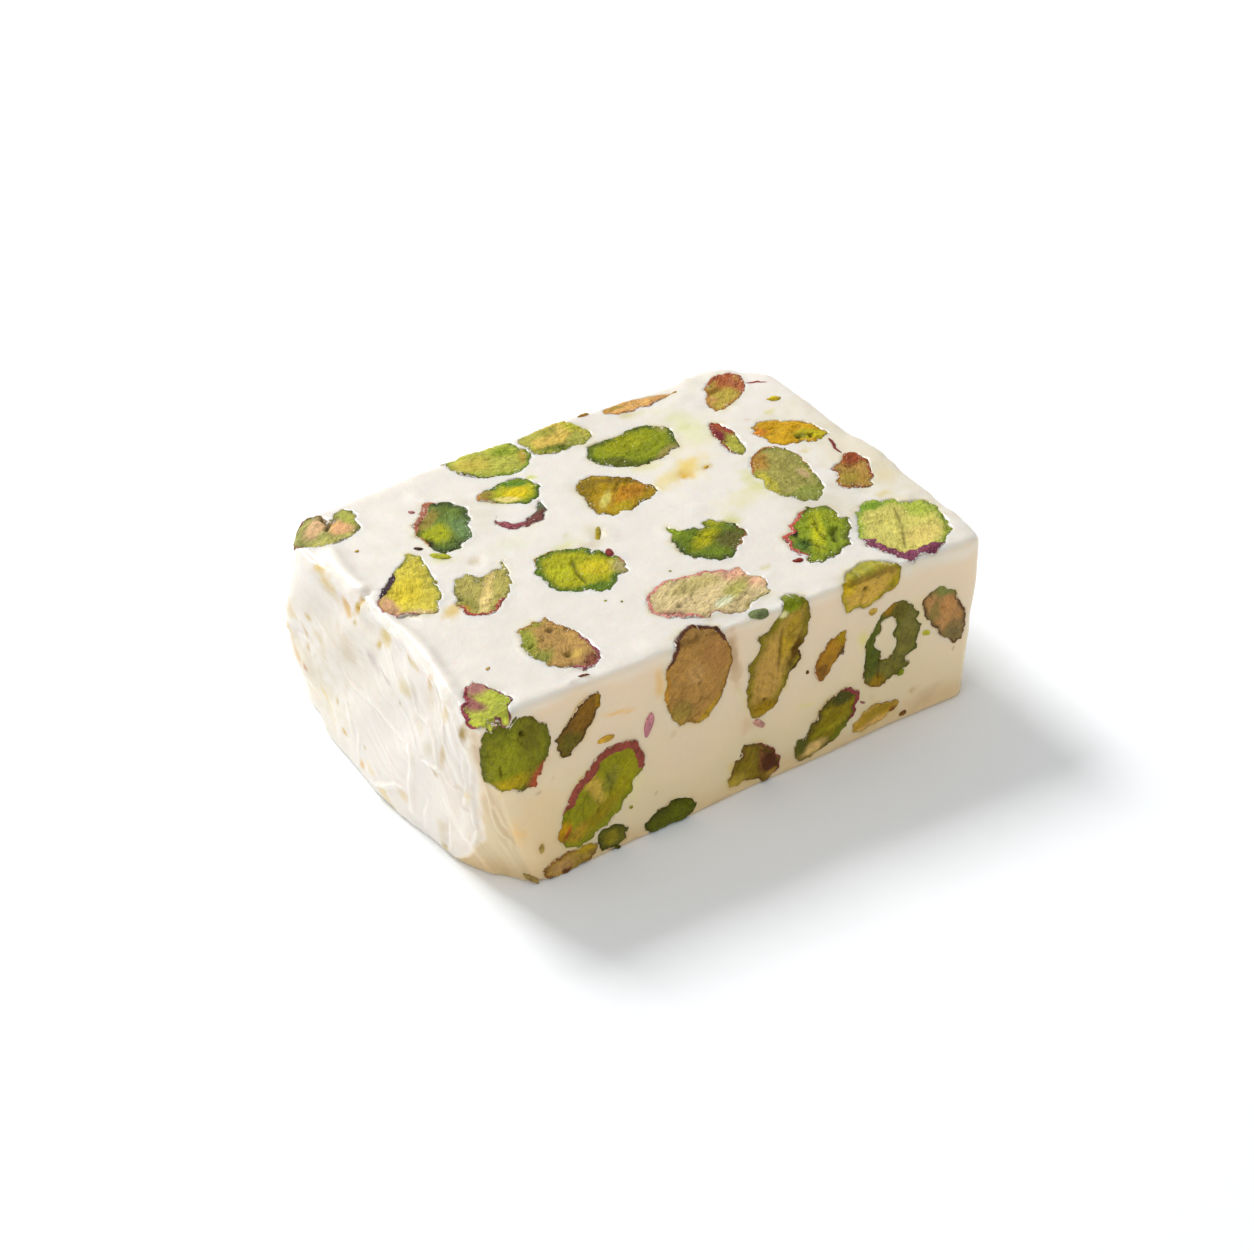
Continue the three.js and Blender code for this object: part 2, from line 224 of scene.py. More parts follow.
# %% Feel round the sides
solids = [node.data for node in frame["nodes"].values()]
solid_points = []
solid_faces = []
for solid in solids:
    offset = sum(len(points) for points in solid_points)
    solid_points.append(points_of(solid))
    solid_faces.append(triangles_of(solid) + offset)
whole_model = BVHTree.FromPolygons(np.vstack(solid_points).tolist(), np.vstack(solid_faces).tolist())

SPINE = (17.0, 8.5)      # half sides of an inner rectangle that the rays aim at
SPACING = 0.4            # distance between rays along the rectangle
CORNER_STEPS = 84        # rays that fan out at each of its corners
FAR_OUT = 60.0           # where the rays start
LEVELS = 56              # heights at which the outline is read
END_MARGIN = 1.0         # the first and the last of them, from the floor and from the top


def ray_starts():
    """Places on the spine and the outward directions from them, once round anticlockwise."""
    half_x, half_y = SPINE
    corners = [(half_x, -half_y), (half_x, half_y), (-half_x, half_y), (-half_x, -half_y)]
    rows = []
    for side, start in enumerate(corners):
        end = corners[(side + 1) % 4]
        angle = side * math.pi / 2
        steps = int(math.dist(start, end) / SPACING)
        for i in range(steps):
            t = i / steps
            x = start[0] + t * (end[0] - start[0])
            y = start[1] + t * (end[1] - start[1])
            rows.append((x, y, math.cos(angle), math.sin(angle)))
        for i in range(CORNER_STEPS):
            turn = angle + i / CORNER_STEPS * math.pi / 2
            rows.append((end[0], end[1], math.cos(turn), math.sin(turn)))
    return np.array(rows)


rays = ray_starts()
levels = np.linspace(END_MARGIN, HEIGHT - END_MARGIN, LEVELS)
reach = np.zeros((len(levels), len(rays)))
for row, z in enumerate(levels):
    for column, (x, y, dx, dy) in enumerate(rays):
        start = Vector((x + dx * FAR_OUT, y + dy * FAR_OUT, z))
        reach[row, column] = FAR_OUT - whole_model.ray_cast(start, Vector((-dx, -dy, 0)))[3]
print("rays", reach.size, "reach", reach.min().round(2), reach.max().round(2))


# %% [markdown]
# The readings still hold the gaps and the flat facets of the model. Taking the highest of the near
# neighbours closes the gaps, and taking the lowest afterwards brings the outline back to its size. A blur
# then melts the facets together, and it is lighter at the two front corners, which the knife left sharp.

# %% Close the gaps and smooth the facets
def spread(grid, pick, width):
    """The highest or lowest of the near neighbours, round the bar and up and down."""
    for axis, mode in ((1, "wrap"), (0, "edge")):
        padding = [(0, 0), (0, 0)]
        padding[axis] = (width, width)
        padded = np.pad(grid, padding, mode=mode)
        shifts = [np.take(padded, range(i, i + grid.shape[axis]), axis) for i in range(2 * width + 1)]
        grid = pick(shifts, axis=0)
    return grid


def blur(grid, axis, width, mode):
    """Averages along one direction, with a bell-shaped weight."""
    half = int(3 * width) + 1
    bell = np.exp(-0.5 * (np.arange(-half, half + 1) / width) ** 2)
    bell /= bell.sum()
    padding = [(0, 0)] * grid.ndim
    padding[axis] = (half, half)
    padded = np.pad(grid, padding, mode=mode)
    size = grid.shape[axis]
    return sum(b * np.take(padded, range(i, i + size), axis) for i, b in enumerate(bell))


GAP_WIDTH = 2                                # readings that a gap may swallow
UP_BLUR = 2.5                                # blur from level to level
CRISP_BLUR = 1.1                             # blur round the bar, at the sharp corners
SOFT_BLUR = 4.5                              # and everywhere else
SHARP_CORNERS = ((-143, 14), (-37, 11))      # direction and width of each, in degrees

reach = spread(spread(reach, np.max, GAP_WIDTH), np.min, GAP_WIDTH)
outline = rays[None, :, :2] + rays[None, :, 2:] * reach[:, :, None]
outline = blur(outline, 0, UP_BLUR, "edge")
crisp = blur(outline, 1, CRISP_BLUR, "wrap")
soft = blur(outline, 1, SOFT_BLUR, "wrap")
turn = np.degrees(np.arctan2(crisp[:, :, 1], crisp[:, :, 0]))
sharpness = sum(np.exp(-((turn - middle) / width) ** 2) for middle, width in SHARP_CORNERS)
outline = soft + (crisp - soft) * np.clip(sharpness, 0, 1)[:, :, None]
print("outline", outline.shape)

# %% [markdown]
# The skin is then lofted: the outline at each height is a ring of points, neighbouring rings are joined by
# squares, and the last ones at the top and the bottom follow a quarter circle, so that the edges are softly
# rounded.

# %% Loft the skin
TOP_ROUNDING = 1.1
FLOOR_ROUNDING = 0.5
RING_SPACING = 0.35


def outline_at(z):
    """The plan outline at any height, straight on beyond the first and last readings."""
    place = (z - levels[0]) / (levels[1] - levels[0])
    below = int(np.clip(math.floor(place), 0, len(levels) - 2))
    return outline[below] + (outline[below + 1] - outline[below]) * (place - below)


def ring(z, inset):
    """The outline at a height as points, drawn in by an inset."""
    points = outline_at(z)
    along = np.roll(points, -1, 0) - np.roll(points, 1, 0)
    outward = np.column_stack([along[:, 1], -along[:, 0]]) / np.linalg.norm(along, axis=1)[:, None]
    return np.column_stack([points - outward * inset, np.full(len(points), z)])


def quarter_circle(radius, steps):
    """How far down and how far in each step of a rounded edge lies."""
    angles = np.linspace(0, math.pi / 2, steps + 1)
    return [(radius * (1 - math.sin(a)), radius * (1 - math.cos(a))) for a in angles]


floor_steps = [(up, inset) for up, inset in reversed(quarter_circle(FLOOR_ROUNDING, 5))]
top_steps = [(HEIGHT - down, inset) for down, inset in quarter_circle(TOP_ROUNDING, 6)]
middle_heights = np.arange(FLOOR_ROUNDING + RING_SPACING, HEIGHT - TOP_ROUNDING - 0.2, RING_SPACING)
middle_steps = [(z, 0.0) for z in middle_heights]
rings = [ring(z, inset) for z, inset in floor_steps + middle_steps + top_steps]
count = len(rays)
skin_points = np.vstack(rings)
skin_faces = []
for level in range(len(rings) - 1):
    for i in range(count):
        a = level * count + i
        b = level * count + (i + 1) % count
        skin_faces.append((a, b, b + count, a + count))
skin_faces.append(tuple(range(count))[::-1])
skin_faces.append(tuple(range((len(rings) - 1) * count, len(rings) * count)))
skin_mesh = bpy.data.meshes.new("skin")
skin_mesh.from_pydata((skin_points * MM).tolist(), [], skin_faces)
skin = BVHTree.FromPolygons(skin_points.tolist(), triangles_of(skin_mesh).tolist())
print("skin faces", len(skin_faces), "from", skin_points.min(0).round(2), "to", skin_points.max(0).round(2))


# %% [markdown]
# ## The nuts as fine nets
# A voxel remesh turns a solid into an even net of small squares. It is the simplest way to get points all
# over a form that was cut by the knife, whatever its outline, and it needs no special care at the hole or
# the notches.

# %% Remesh
def even_net(mesh, spacing):
    """A copy of a closed mesh as an even net of small squares."""
    blank = bpy.data.objects.new("blank", mesh)
    bpy.context.scene.collection.objects.link(blank)
    remesh = blank.modifiers.new("net", "REMESH")
    remesh.mode = "VOXEL"
    remesh.voxel_size = spacing * MM
    net = bpy.data.meshes.new_from_object(blank.evaluated_get(bpy.context.evaluated_depsgraph_get()))
    bpy.data.objects.remove(blank)
    return net


NUT_NET = 0.17
nut_names = sorted(name for name in frame["nodes"] if name.startswith("pistachio_"))
nut_points = []
nut_normals = []
nut_quads = []
nut_edges = []
nut_range = {}
total = 0
for name in nut_names:
    net = even_net(frame["nodes"][name].data, NUT_NET)
    points = points_of(net)
    nut_points.append(points)
    nut_normals.append(normals_of(net))
    nut_quads.append(corners_of(net).reshape(-1, 4) + total)
    nut_edges.append(edges_of(net) + total)
    nut_range[name] = slice(total, total + len(points))
    total += len(points)
    bpy.data.meshes.remove(net)
nuts = np.vstack(nut_points)
nut_normals = np.vstack(nut_normals)
nut_edges = np.vstack(nut_edges)
print("nuts", len(nut_names), "points", len(nuts))


# %% [markdown]
# ## Cut face, rim and walls
# Each point of a nut is asked how deep it lies under the bar's skin. The shallow ones are the cut face.
# Smoothing takes the corners off the outline, and it may slide the cut face along the skin but not off it.
# A push with noise then makes the outline as ragged as a sliced nut.

# %% Depth under the skin
CUT_DEPTH = 0.14      # a point less deep than this is on the cut face
CORNER_DEPTH = 0.35   # and so is one less deep than this that looks outwards, as on a sharp packed corner
OUTWARDS = 0.6        # how nearly it has to look straight out

nut_depth = np.empty(len(nuts))
nut_out = np.empty((len(nuts), 3))
nearest_skin = np.empty((len(nuts), 3))
outside = np.zeros(len(nuts), dtype=bool)
for i, point in enumerate(nuts.tolist()):
    nearest_skin[i], nut_out[i], _, nut_depth[i] = skin.find_nearest(point)
    outside[i] = (Vector(point) - Vector(nearest_skin[i])).dot(Vector(nut_out[i])) > 0
looks_out = np.sum(nut_normals * nut_out, axis=1) > OUTWARDS
at_skin = outside | (looks_out & (nut_depth < CORNER_DEPTH))
nuts[at_skin] = nearest_skin[at_skin]
nut_depth[at_skin] = 0.0
is_cut = nut_depth < CUT_DEPTH
print("cut-face points", int(is_cut.sum()))


# %% [markdown]
# The net's steps still show in each outline. Averaging every point with its neighbours rounds them away, a
# little at a time.

# %% Smooth the outlines
def neighbour_mean(points, edges):
    """The average of the points that each point is joined to."""
    total = np.zeros_like(points)
    number = np.zeros(len(points))
    for a, b in ((0, 1), (1, 0)):
        number += np.bincount(edges[:, a], minlength=len(points))
        for axis in range(3):
            total[:, axis] += np.bincount(edges[:, a], points[edges[:, b], axis], len(points))
    return total / number[:, None]


def across_skin(vectors, out, where):
    """Takes away the part of each vector that leaves the skin."""
    lift = np.sum(vectors * out, axis=1) * where
    return vectors - out * lift[:, None]


SMOOTH_ROUNDS = 11
IN_AND_OUT = (0.5, -0.52)     # a pull towards the neighbours, then a push back, so that nothing shrinks
before = nuts.copy()
for _ in range(SMOOTH_ROUNDS):
    for push in IN_AND_OUT:
        step = (neighbour_mean(nuts, nut_edges) - nuts) * push
        nuts += across_skin(step, nut_out, is_cut)
print("smoothed by up to", np.linalg.norm(nuts - before, axis=1).max().round(2))


# %% [markdown]
# ## How each nut looks
# The nuts differ a lot: a fresh green slice, a pale grainy one, one cut close under its purple skin. Each
# gets a short description in a table. Places are in millimetres on the cut face, in the drawing's own axes:
# to the right and away from the viewer on the top, to the right and up on the front. A nut has a flesh
# colour, an edge colour with its width, blotches (a few of them painted glints, sheens and crevice shadow),
# lines of skin along stretches of its rim (between two directions seen from its middle), cracks and pits.

# %% The nuts' descriptions
# flesh: main colour. edge: colour and width of the rim zone. blotches: x, y, length, width, turn, colour;
# a few blotches are painted glints and sheens, and one is painted shadow in a crevice.
# husk: from and to direction in degrees, width, colour. grain: direction and strength of the streaks.
# cracks: points of the line, width, depth. pits: x, y, radius. ragged: how torn the outline is.
LOOKS = {
    "top_01": dict(
        flesh="afad5c", edge=("83843d", 0.7), grain=(30, 0.5), ragged=1.0,
        blotches_glints_and_shade=[(-28.2, 18.7, 2.1, 0.9, 38, "f5c994"), (-25.9, 17.1, 1.6, 1.3, 60, "f5bb82"),
                  (-27.6, 15.4, 3.0, 0.7, -6, "d1ca6b"), (-24.3, 18.6, 0.8, 1.6, 0, "bfc056")],
        husk=[(60, 200, 0.3, "8f5834")], cracks=[([(-26.7, 20.4), (-26.6, 18.6), (-27.7, 17.5)], 0.22, 0.5)]),
    "top_02": dict(
        flesh="6e842f", edge=("475824", 1.1), grain=(60, 0.4), ragged=1.2,
        blotches_glints_and_shade=[(-18.0, 10.2, 1.9, 1.6, 50, "aeb311"), (-17.3, 13.2, 1.8, 0.9, 40, "a5933d"),
                  (-19.9, 9.2, 0.9, 0.8, 0, "342f11"), (-15.0, 9.0, 1.4, 2.6, 0, "769354"),
                  # the blotch eadda8 on the next line is a painted sheen
                  (-17.3, 14.3, 1.3, 0.35, 35, "eadda8")],
        husk=[(75, 165, 0.75, "b87154"), (165, 215, 0.25, "dc9354")], cracks=[]),
    "top_03": dict(
        flesh="b9bb1d", edge=("5a781b", 0.75), grain=(0, 0.2), ragged=0.8,
        blotches_glints_and_shade=[(-6.5, 12.4, 1.8, 1.2, 10, "ead114"), (-9.9, 14.0, 1.3, 1.0, 0, "a28d33"),
                  # the first blotch on the next line, f8e68a, is a painted glint
                  (-7.9, 11.9, 1.2, 0.5, -30, "f8e68a"), (-5.6, 14.2, 1.5, 0.7, -30, "698f1b")],
        husk=[(150, 200, 0.35, "c7893f")], cracks=[]),
    "top_04": dict(
        flesh="7f4841", edge=("633531", 0.3), grain=(0, 0.2), ragged=1.0,
        blotches_glints_and_shade=[(-10.4, 7.2, 1.9, 1.4, -50, "a25159"), (-5.6, 9.4, 1.7, 1.3, 40, "5a6d45"),
                  (-4.2, 11.2, 0.8, 1.4, 0, "ad7b5b")],
        husk=[], cracks=[]),
    "top_05": dict(
        flesh="bfbf49", edge=("7e9827", 0.7), grain=(-20, 0.35), ragged=0.6,
        blotches_glints_and_shade=[(-7.6, 19.6, 2.4, 1.2, -15, "d5c450"), (-3.3, 20.2, 1.6, 1.0, 0, "a6b733"),
                  (-1.8, 18.4, 1.3, 0.4, 60, "c4a83c"), (-4.2, 18.6, 1.6, 1.1, 0, "cccc56")],
        husk=[(40, 175, 0.2, "9e742a"), (195, 260, 0.22, "69512a")],
        cracks=[([(-3.2, 21.2), (-3.7, 19.6), (-3.2, 18.2)], 0.18, 0.12)]),
    "top_06": dict(
        flesh="e8c75c", edge=("b0af3d", 0.9), grain=(0, 0.3), ragged=0.7,
        blotches_glints_and_shade=[(1.8, 20.9, 2.6, 0.8, 0, "bab445"), (2.2, 17.6, 1.7, 0.6, -15, "75811e"),
                  (6.2, 20.4, 1.2, 1.3, 0, "cfcb41"), (5.2, 18.0, 1.4, 1.0, 20, "b4b44c")],
        husk=[(20, 100, 0.18, "c48a3d")], cracks=[]),
    "top_07": dict(
        flesh="909b09", edge=("52620f", 1.0), grain=(10, 0.25), ragged=0.6,
        # the blotches a59747 and a29f41 are painted sheens
        blotches_glints_and_shade=[(9.2, 14.4, 3.3, 1.5, 8, "a5a708"), (12.2, 10.3, 1.9, 0.6, 20, "a59747"),
                  (14.4, 15.0, 0.6, 1.1, 0, "a29f41"), (6.4, 11.6, 1.8, 1.0, -35, "626810")],
        husk=[(230, 330, 0.16, "6b4119")], cracks=[]),
    "top_08": dict(
        flesh="b79307", edge=("907605", 0.55), grain=(45, 0.35), ragged=1.0,
        blotches_glints_and_shade=[(4.0, 5.7, 2.6, 1.4, 25, "c6880d"), (1.0, 5.9, 1.9, 0.5, 46, "ddcf65"),
                  (1.6, 3.4, 1.6, 0.7, 25, "cdb019"), (1.0, 9.6, 1.8, 1.3, 0, "a08205"),
                  (4.2, 8.4, 2.8, 0.6, -30, "8d6f06")],
        husk=[(-20, 70, 0.2, "855409")], cracks=[([(2.6, 6.4), (4.2, 8.0)], 0.25, 0.2)]),
    "top_09": dict(
        flesh="ecb769", edge=("da974f", 0.35), grain=(0, 0.5), ragged=0.7,
        blotches_glints_and_shade=[(11.4, 21.2, 1.3, 0.8, 0, "d29e4b"), (12.7, 21.0, 0.8, 0.35, -10, "ad953b"),
                  (18.4, 20.0, 1.2, 0.5, 0, "e3a557")],
        husk=[(180, 350, 0.16, "d18a5b")], cracks=[]),
    "top_10": dict(
        flesh="c4ab43", edge=("b37f39", 0.6), grain=(40, 0.3), ragged=0.6,
        blotches_glints_and_shade=[(26.7, 19.4, 2.2, 1.2, 40, "b76232"), (24.1, 18.0, 1.1, 0.45, 10, "946e16"),
                  (27.2, 17.2, 1.0, 1.9, 10, "b76c40"), (25.9, 20.6, 1.2, 0.7, 20, "9c482b"),
                  (22.6, 16.4, 0.9, 0.8, 0, "d6a555")],
        husk=[(-40, 110, 0.35, "ae5d3d"), (140, 200, 0.2, "bb7736")], cracks=[]),
    "top_11": dict(
        flesh="bab741", edge=("9a9a3c", 0.3), grain=(80, 0.3), ragged=0.6,
        blotches_glints_and_shade=[(20.0, 11.6, 1.3, 1.5, 0, "bc5722"), (18.8, 9.9, 0.9, 1.7, -20, "81272d"),
                  (20.3, 10.0, 0.5, 1.2, 0, "a1482d")],
        husk=[(30, 250, 0.3, "8f3729")], cracks=[]),
    "top_12": dict(
        flesh="ddab10", edge=("c0900e", 0.5), grain=(-35, 0.8), ragged=1.3,
        blotches_glints_and_shade=[(23.0, 7.6, 1.1, 0.8, 0, "dd8b1d"), (27.6, 4.0, 1.7, 1.0, -40, "ccbd14"),
                  (26.6, 4.4, 0.9, 0.4, -40, "96900e"), (25.6, 8.4, 1.8, 0.8, -20, "e2ab0b")],
        husk=[], cracks=[], pits=[(26.2, 4.4, 0.3), (27.4, 3.8, 0.25)]),
    "top_13": dict(
        flesh="afa753", edge=("868c32", 0.7), grain=(80, 0.2), ragged=0.4,
        blotches_glints_and_shade=[(19.2, 2.6, 1.7, 1.4, 30, "c4933b"), (22.1, -2.0, 0.5, 1.0, 0, "cfb07c"),
                  (17.6, -1.4, 0.7, 2.8, -8, "cec23f"), (21.5, 1.6, 1.4, 1.3, 0, "b1a753"),
                  (20.4, -5.4, 1.6, 1.3, 0, "99a143")],
        husk=[(60, 150, 0.3, "ac692e"), (-30, 60, 0.18, "c9844f")], cracks=[]),
    "top_14": dict(
        flesh="bd9344", edge=("a76732", 0.45), grain=(60, 0.3), ragged=0.9,
        blotches_glints_and_shade=[(28.2, -2.9, 1.6, 1.0, 20, "a24d21"), (25.4, -5.8, 1.3, 1.2, 0, "b09532"),
                  (27.0, -7.6, 0.9, 1.2, 0, "b48b32")],
        husk=[(-60, 80, 0.25, "9e4921"), (150, 230, 0.18, "bd6732")], cracks=[]),
    "top_15": dict(
        flesh="738718", edge=("4f5e1b", 0.7), grain=(25, 0.4), ragged=1.3,
        blotches_glints_and_shade=[(5.6, -6.6, 2.3, 1.0, 25, "bab50b"), (3.4, -3.4, 1.4, 1.2, 60, "90a618"),
                  (8.0, -8.2, 1.9, 1.5, 0, "6e6b2a"), (8.2, -4.4, 1.0, 0.9, 0, "adad1b")],
        husk=[(-70, 10, 0.25, "995e2a")], cracks=[([(4.6, -5.0), (6.0, -6.8), (8.4, -7.4)], 0.2, 0.2)]),
    "top_16": dict(
        flesh="93a41b", edge=("707c1d", 0.7), grain=(55, 0.4), ragged=1.6,
        blotches_glints_and_shade=[(16.4, -12.2, 3.6, 0.8, 58, "cfd019"), (13.6, -13.4, 1.1, 0.9, 50, "6a8832"),
                  # the blotch 1f1d0b on the next line is painted shadow in a crevice
                  (19.3, -10.9, 0.8, 1.1, 0, "9faa1d"), (14.1, -11.3, 0.75, 0.35, 50, "1f1d0b")],
        husk=[(75, 215, 0.45, "ca5b4f")],
        cracks=[([(18.0, -9.6), (16.6, -12.0), (16.2, -14.4)], 0.2, 0.35),
                ([(13.9, -12.4), (15.0, -14.4), (15.2, -16.0)], 0.22, 0.35),
                ([(19.0, -12.4), (17.5, -13.4), (16.8, -15.2)], 0.3, 0.45)]),
    "top_17": dict(
        flesh="e2d76f", edge=("a0b63c", 0.9), grain=(62, 0.3), ragged=0.9,
        blotches_glints_and_shade=[(28.2, -14.6, 1.4, 2.2, 0, "becc4b"), (25.4, -19.2, 2.4, 1.6, 0, "edd775"),
                  (24.0, -11.6, 2.4, 0.7, -15, "87a72c"), (28.4, -20.2, 1.2, 0.7, 30, "9aa52c")],
        husk=[(178, 284, 0.95, "904861")],
        cracks=[([(26.3, -12.9), (24.6, -16.6), (22.3, -20.2)], 0.16, 0.25),
                ([(28.9, -15.0), (28.1, -17.0)], 0.14, 0.15)]),
    "top_18": dict(
        flesh="e5d44c", edge=("b3ae3c", 0.5), grain=(60, 0.5), ragged=0.8,
        blotches_glints_and_shade=[(-26.6, 2.6, 2.8, 1.6, 50, "ecd537"), (-29.2, 1.4, 0.8, 2.0, 0, "e0ae7f"),
                  (-27.2, -1.6, 2.0, 0.7, -30, "ebcd84")],
        husk=[(92, 172, 0.75, "442f37"), (172, 250, 0.32, "b37269"), (-45, 20, 0.2, "8b902f")], cracks=[]),
    "top_19": dict(
        flesh="c2b55d", edge=("aba24b", 0.5), grain=(48, 1.0), ragged=0.9,
        blotches_glints_and_shade=[(-20.6, -3.6, 2.6, 0.7, 48, "f0d68a"), (-18.6, -1.0, 2.4, 0.5, 48, "e5cb7a"),
                  (-22.4, -2.6, 0.9, 2.0, 10, "a09b45"), (-23.3, -3.6, 0.7, 0.9, 0, "d69b1d")],
        husk=[(190, 300, 0.4, "b55945")], cracks=[], pits=[(-22.3, -1.6, 0.35)]),
    "top_20": dict(
        flesh="cba058", edge=("a97f3f", 0.5), grain=(60, 0.6), ragged=0.8,
        blotches_glints_and_shade=[(-21.0, -11.8, 1.1, 3.2, -20, "a0a435"), (-20.8, -15.2, 1.4, 0.9, 20, "a2a244"),
                  # the blotch edc561 on the next line is a painted glint
                  (-17.0, -18.4, 1.6, 0.9, 30, "8e5437"), (-17.8, -16.4, 0.8, 0.6, 0, "edc561"),
                  (-22.6, -15.7, 0.8, 1.2, -20, "8e9a26"), (-18.4, -9.8, 1.2, 0.6, 0, "9e9a33")],
        husk=[(-100, 5, 0.35, "a05261"), (5, 120, 0.2, "b67b3f")],
        cracks=[([(-21.6, -13.4), (-20.4, -12.8)], 0.18, 0.25)],
        pits=[(-17.7, -11.6, 0.38), (-18.4, -16.1, 0.4)]),
    "top_21": dict(
        flesh="ead298", edge=("c5b376", 0.5), grain=(30, 1.0), ragged=0.8,
        blotches_glints_and_shade=[(4.4, -14.0, 1.3, 3.4, 25, "fdc09d"), (-5.7, -16.6, 1.7, 1.0, -30, "a4705c"),
                  (-0.6, -13.2, 3.2, 1.2, 0, "d3c07a"), (2.8, -16.0, 2.4, 1.0, 30, "c5bc64"),
                  # the first blotch on the next line, ffffd0, is a painted glint
                  (0.2, -17.4, 1.4, 0.5, 15, "ffffd0"), (3.6, -19.2, 1.4, 0.6, 0, "b2a153")],
        husk=[(20, 230, 0.4, "e18f83"), (230, 300, 0.2, "c5826d")],
        cracks=[([(3.6, -17.2), (1.4, -18.2)], 0.18, 0.2)], pits=[(-4.0, -15.4, 0.4)]),
    "top_22": dict(
        flesh="b9b615", edge=("597717", 0.95), grain=(50, 0.4), ragged=1.0,
        blotches_glints_and_shade=[(-10.9, -3.6, 1.5, 2.4, -30, "c2c21a"), (-7.2, -4.8, 1.9, 1.2, -25, "dccb1c"),
                  (-4.9, -6.0, 1.2, 1.5, 0, "b9ab69"), (-9.4, -7.6, 2.6, 0.8, -10, "648118")],
        husk=[(-20, 20, 0.2, "b47248"), (60, 150, 0.15, "a27b2e")],
        cracks=[([(-8.4, -1.4), (-9.6, -4.6), (-9.8, -7.0)], 0.2, 0.35)]),
    "top_23": dict(
        flesh="c7cc4c", edge=("a0a340", 0.4), grain=(10, 0.5), ragged=0.9,
        blotches_glints_and_shade=[(-29.6, -15.8, 1.5, 1.4, 0, "be8277"), (-31.4, -17.6, 0.8, 1.8, 20, "b16f67"),
                  (-28.2, -18.8, 0.7, 1.6, 0, "b6c03c")],
        husk=[(90, 215, 0.45, "98434c"), (-100, 60, 0.22, "864750")], cracks=[]),
    "edge_01": dict(
        flesh="bf9b3e", edge=("9a8d1c", 0.6), grain=(10, 0.2), ragged=0.6,
        blotches_glints_and_shade=[(15.8, 21.6, 5.0, 0.6, 0, "b4ae38"), (13.2, 20.4, 0.9, 0.9, 0, "c8a81c"),
                  (19.0, 19.3, 0.8, 0.6, 0, "ab9519")],
        husk=[(-60, 20, 0.15, "916112")], cracks=[([(12.6, 20.6), (19.2, 20.9)], 0.14, 0.12)],
        pits=[(15.4, 19.6, 0.32)]),
    "front_01": dict(
        flesh="767516", edge=("5f6011", 0.8), grain=(60, 0.3), ragged=0.9,
        blotches_glints_and_shade=[(-29.2, 15.2, 1.8, 3.2, 0, "868616"), (-25.9, 12.6, 1.7, 0.8, 30, "9f502f"),
                  (-29.2, 12.9, 2.0, 0.8, 0, "a48e13"), (-26.6, 17.8, 1.4, 2.2, 0, "686314")],
        husk=[(-68, -28, 0.5, "9f4c2c")],
        cracks=[([(-28.4, 17.9), (-26.9, 15.8)], 0.14, 0.12), ([(-30.5, 15.4), (-30.4, 14.0)], 0.18, 0.3)],
        pits=[(-27.6, 18.0, 0.25)]),
    "front_02": dict(
        flesh="765319", edge=("503510", 0.4), grain=(50, 0.2), ragged=0.6,
        blotches_glints_and_shade=[(-21.9, 14.5, 1.6, 1.2, 0, "635818"), (-19.2, 17.6, 1.2, 2.0, -40, "7a5519"),
                  (-18.2, 18.2, 0.4, 1.4, 0, "936e11")],
        husk=[(0, 360, 0.14, "3b230e")], cracks=[]),
    "front_03": dict(
        flesh="878314", edge=("74780f", 0.6), grain=(40, 0.4), ragged=0.7,
        blotches_glints_and_shade=[(-19.4, 8.2, 0.9, 2.4, 25, "b4973b"), (-16.6, 8.2, 1.5, 2.2, -45, "988f0f"),
                  (-19.4, 5.4, 3.2, 0.8, 30, "8d7c10"), (-17.7, 8.6, 0.9, 1.5, -35, "7c7822"),
                  (-22.4, 4.3, 1.3, 0.8, 30, "a08020"), (-24.2, 4.9, 0.8, 1.2, -40, "b88a10"),
                  (-23.6, 4.6, 0.9, 0.3, 60, "9c4a1c")],
        husk=[(12, 182, 0.95, "854133")],
        cracks=[([(-18.2, 9.8), (-17.5, 8.2), (-17.9, 6.4)], 0.16, 0.15)]),
    "front_04": dict(
        flesh="605e15", edge=("494910", 0.5), grain=(0, 0.2), ragged=1.0,
        blotches_glints_and_shade=[(-18.3, 1.9, 0.8, 0.8, 0, "817316")], husk=[], cracks=[]),
    "front_05": dict(
        flesh="535709", edge=("404207", 0.6), grain=(0, 0.3), ragged=0.9,
        blotches_glints_and_shade=[(-9.0, 1.6, 1.6, 0.9, 0, "5a5f07")], husk=[], cracks=[]),
    "front_06": dict(
        flesh="9d8034", edge=("876225", 0.5), grain=(0, 0.4), ragged=0.9,
        blotches_glints_and_shade=[(-21.4, 2.0, 1.3, 0.5, 0, "ae901d"), (-24.4, 1.1, 1.6, 0.8, 0, "ae864e"),
                  (-24.0, 0.4, 0.6, 0.3, 0, "60391d")],
        husk=[(90, 250, 0.18, "875025")], cracks=[]),
    "front_07": dict(
        flesh="a67c3d", edge=("9a6f26", 0.5), grain=(30, 0.35), ragged=0.6,
        blotches_glints_and_shade=[(-5.0, 11.9, 3.2, 0.5, 32, "b08a24"), (-8.4, 13.2, 1.4, 1.2, 0, "967c34"),
                  (-10.2, 17.2, 0.4, 2.4, 0, "b27f26"), (-6.2, 17.0, 1.2, 1.4, 0, "ad854a"),
                  (-3.6, 18.6, 1.6, 2.0, 0, "a1743b")],
        husk=[(35, 150, 0.5, "5a3422"), (-60, 35, 0.2, "6c4522")],
        cracks=[([(-6.6, 17.8), (-5.8, 16.2)], 0.14, 0.1)], pits=[(-5.8, 15.7, 0.18)]),
    "front_08": dict(
        flesh="a08234", edge=("7a6c14", 1.1), grain=(70, 0.3), ragged=0.6,
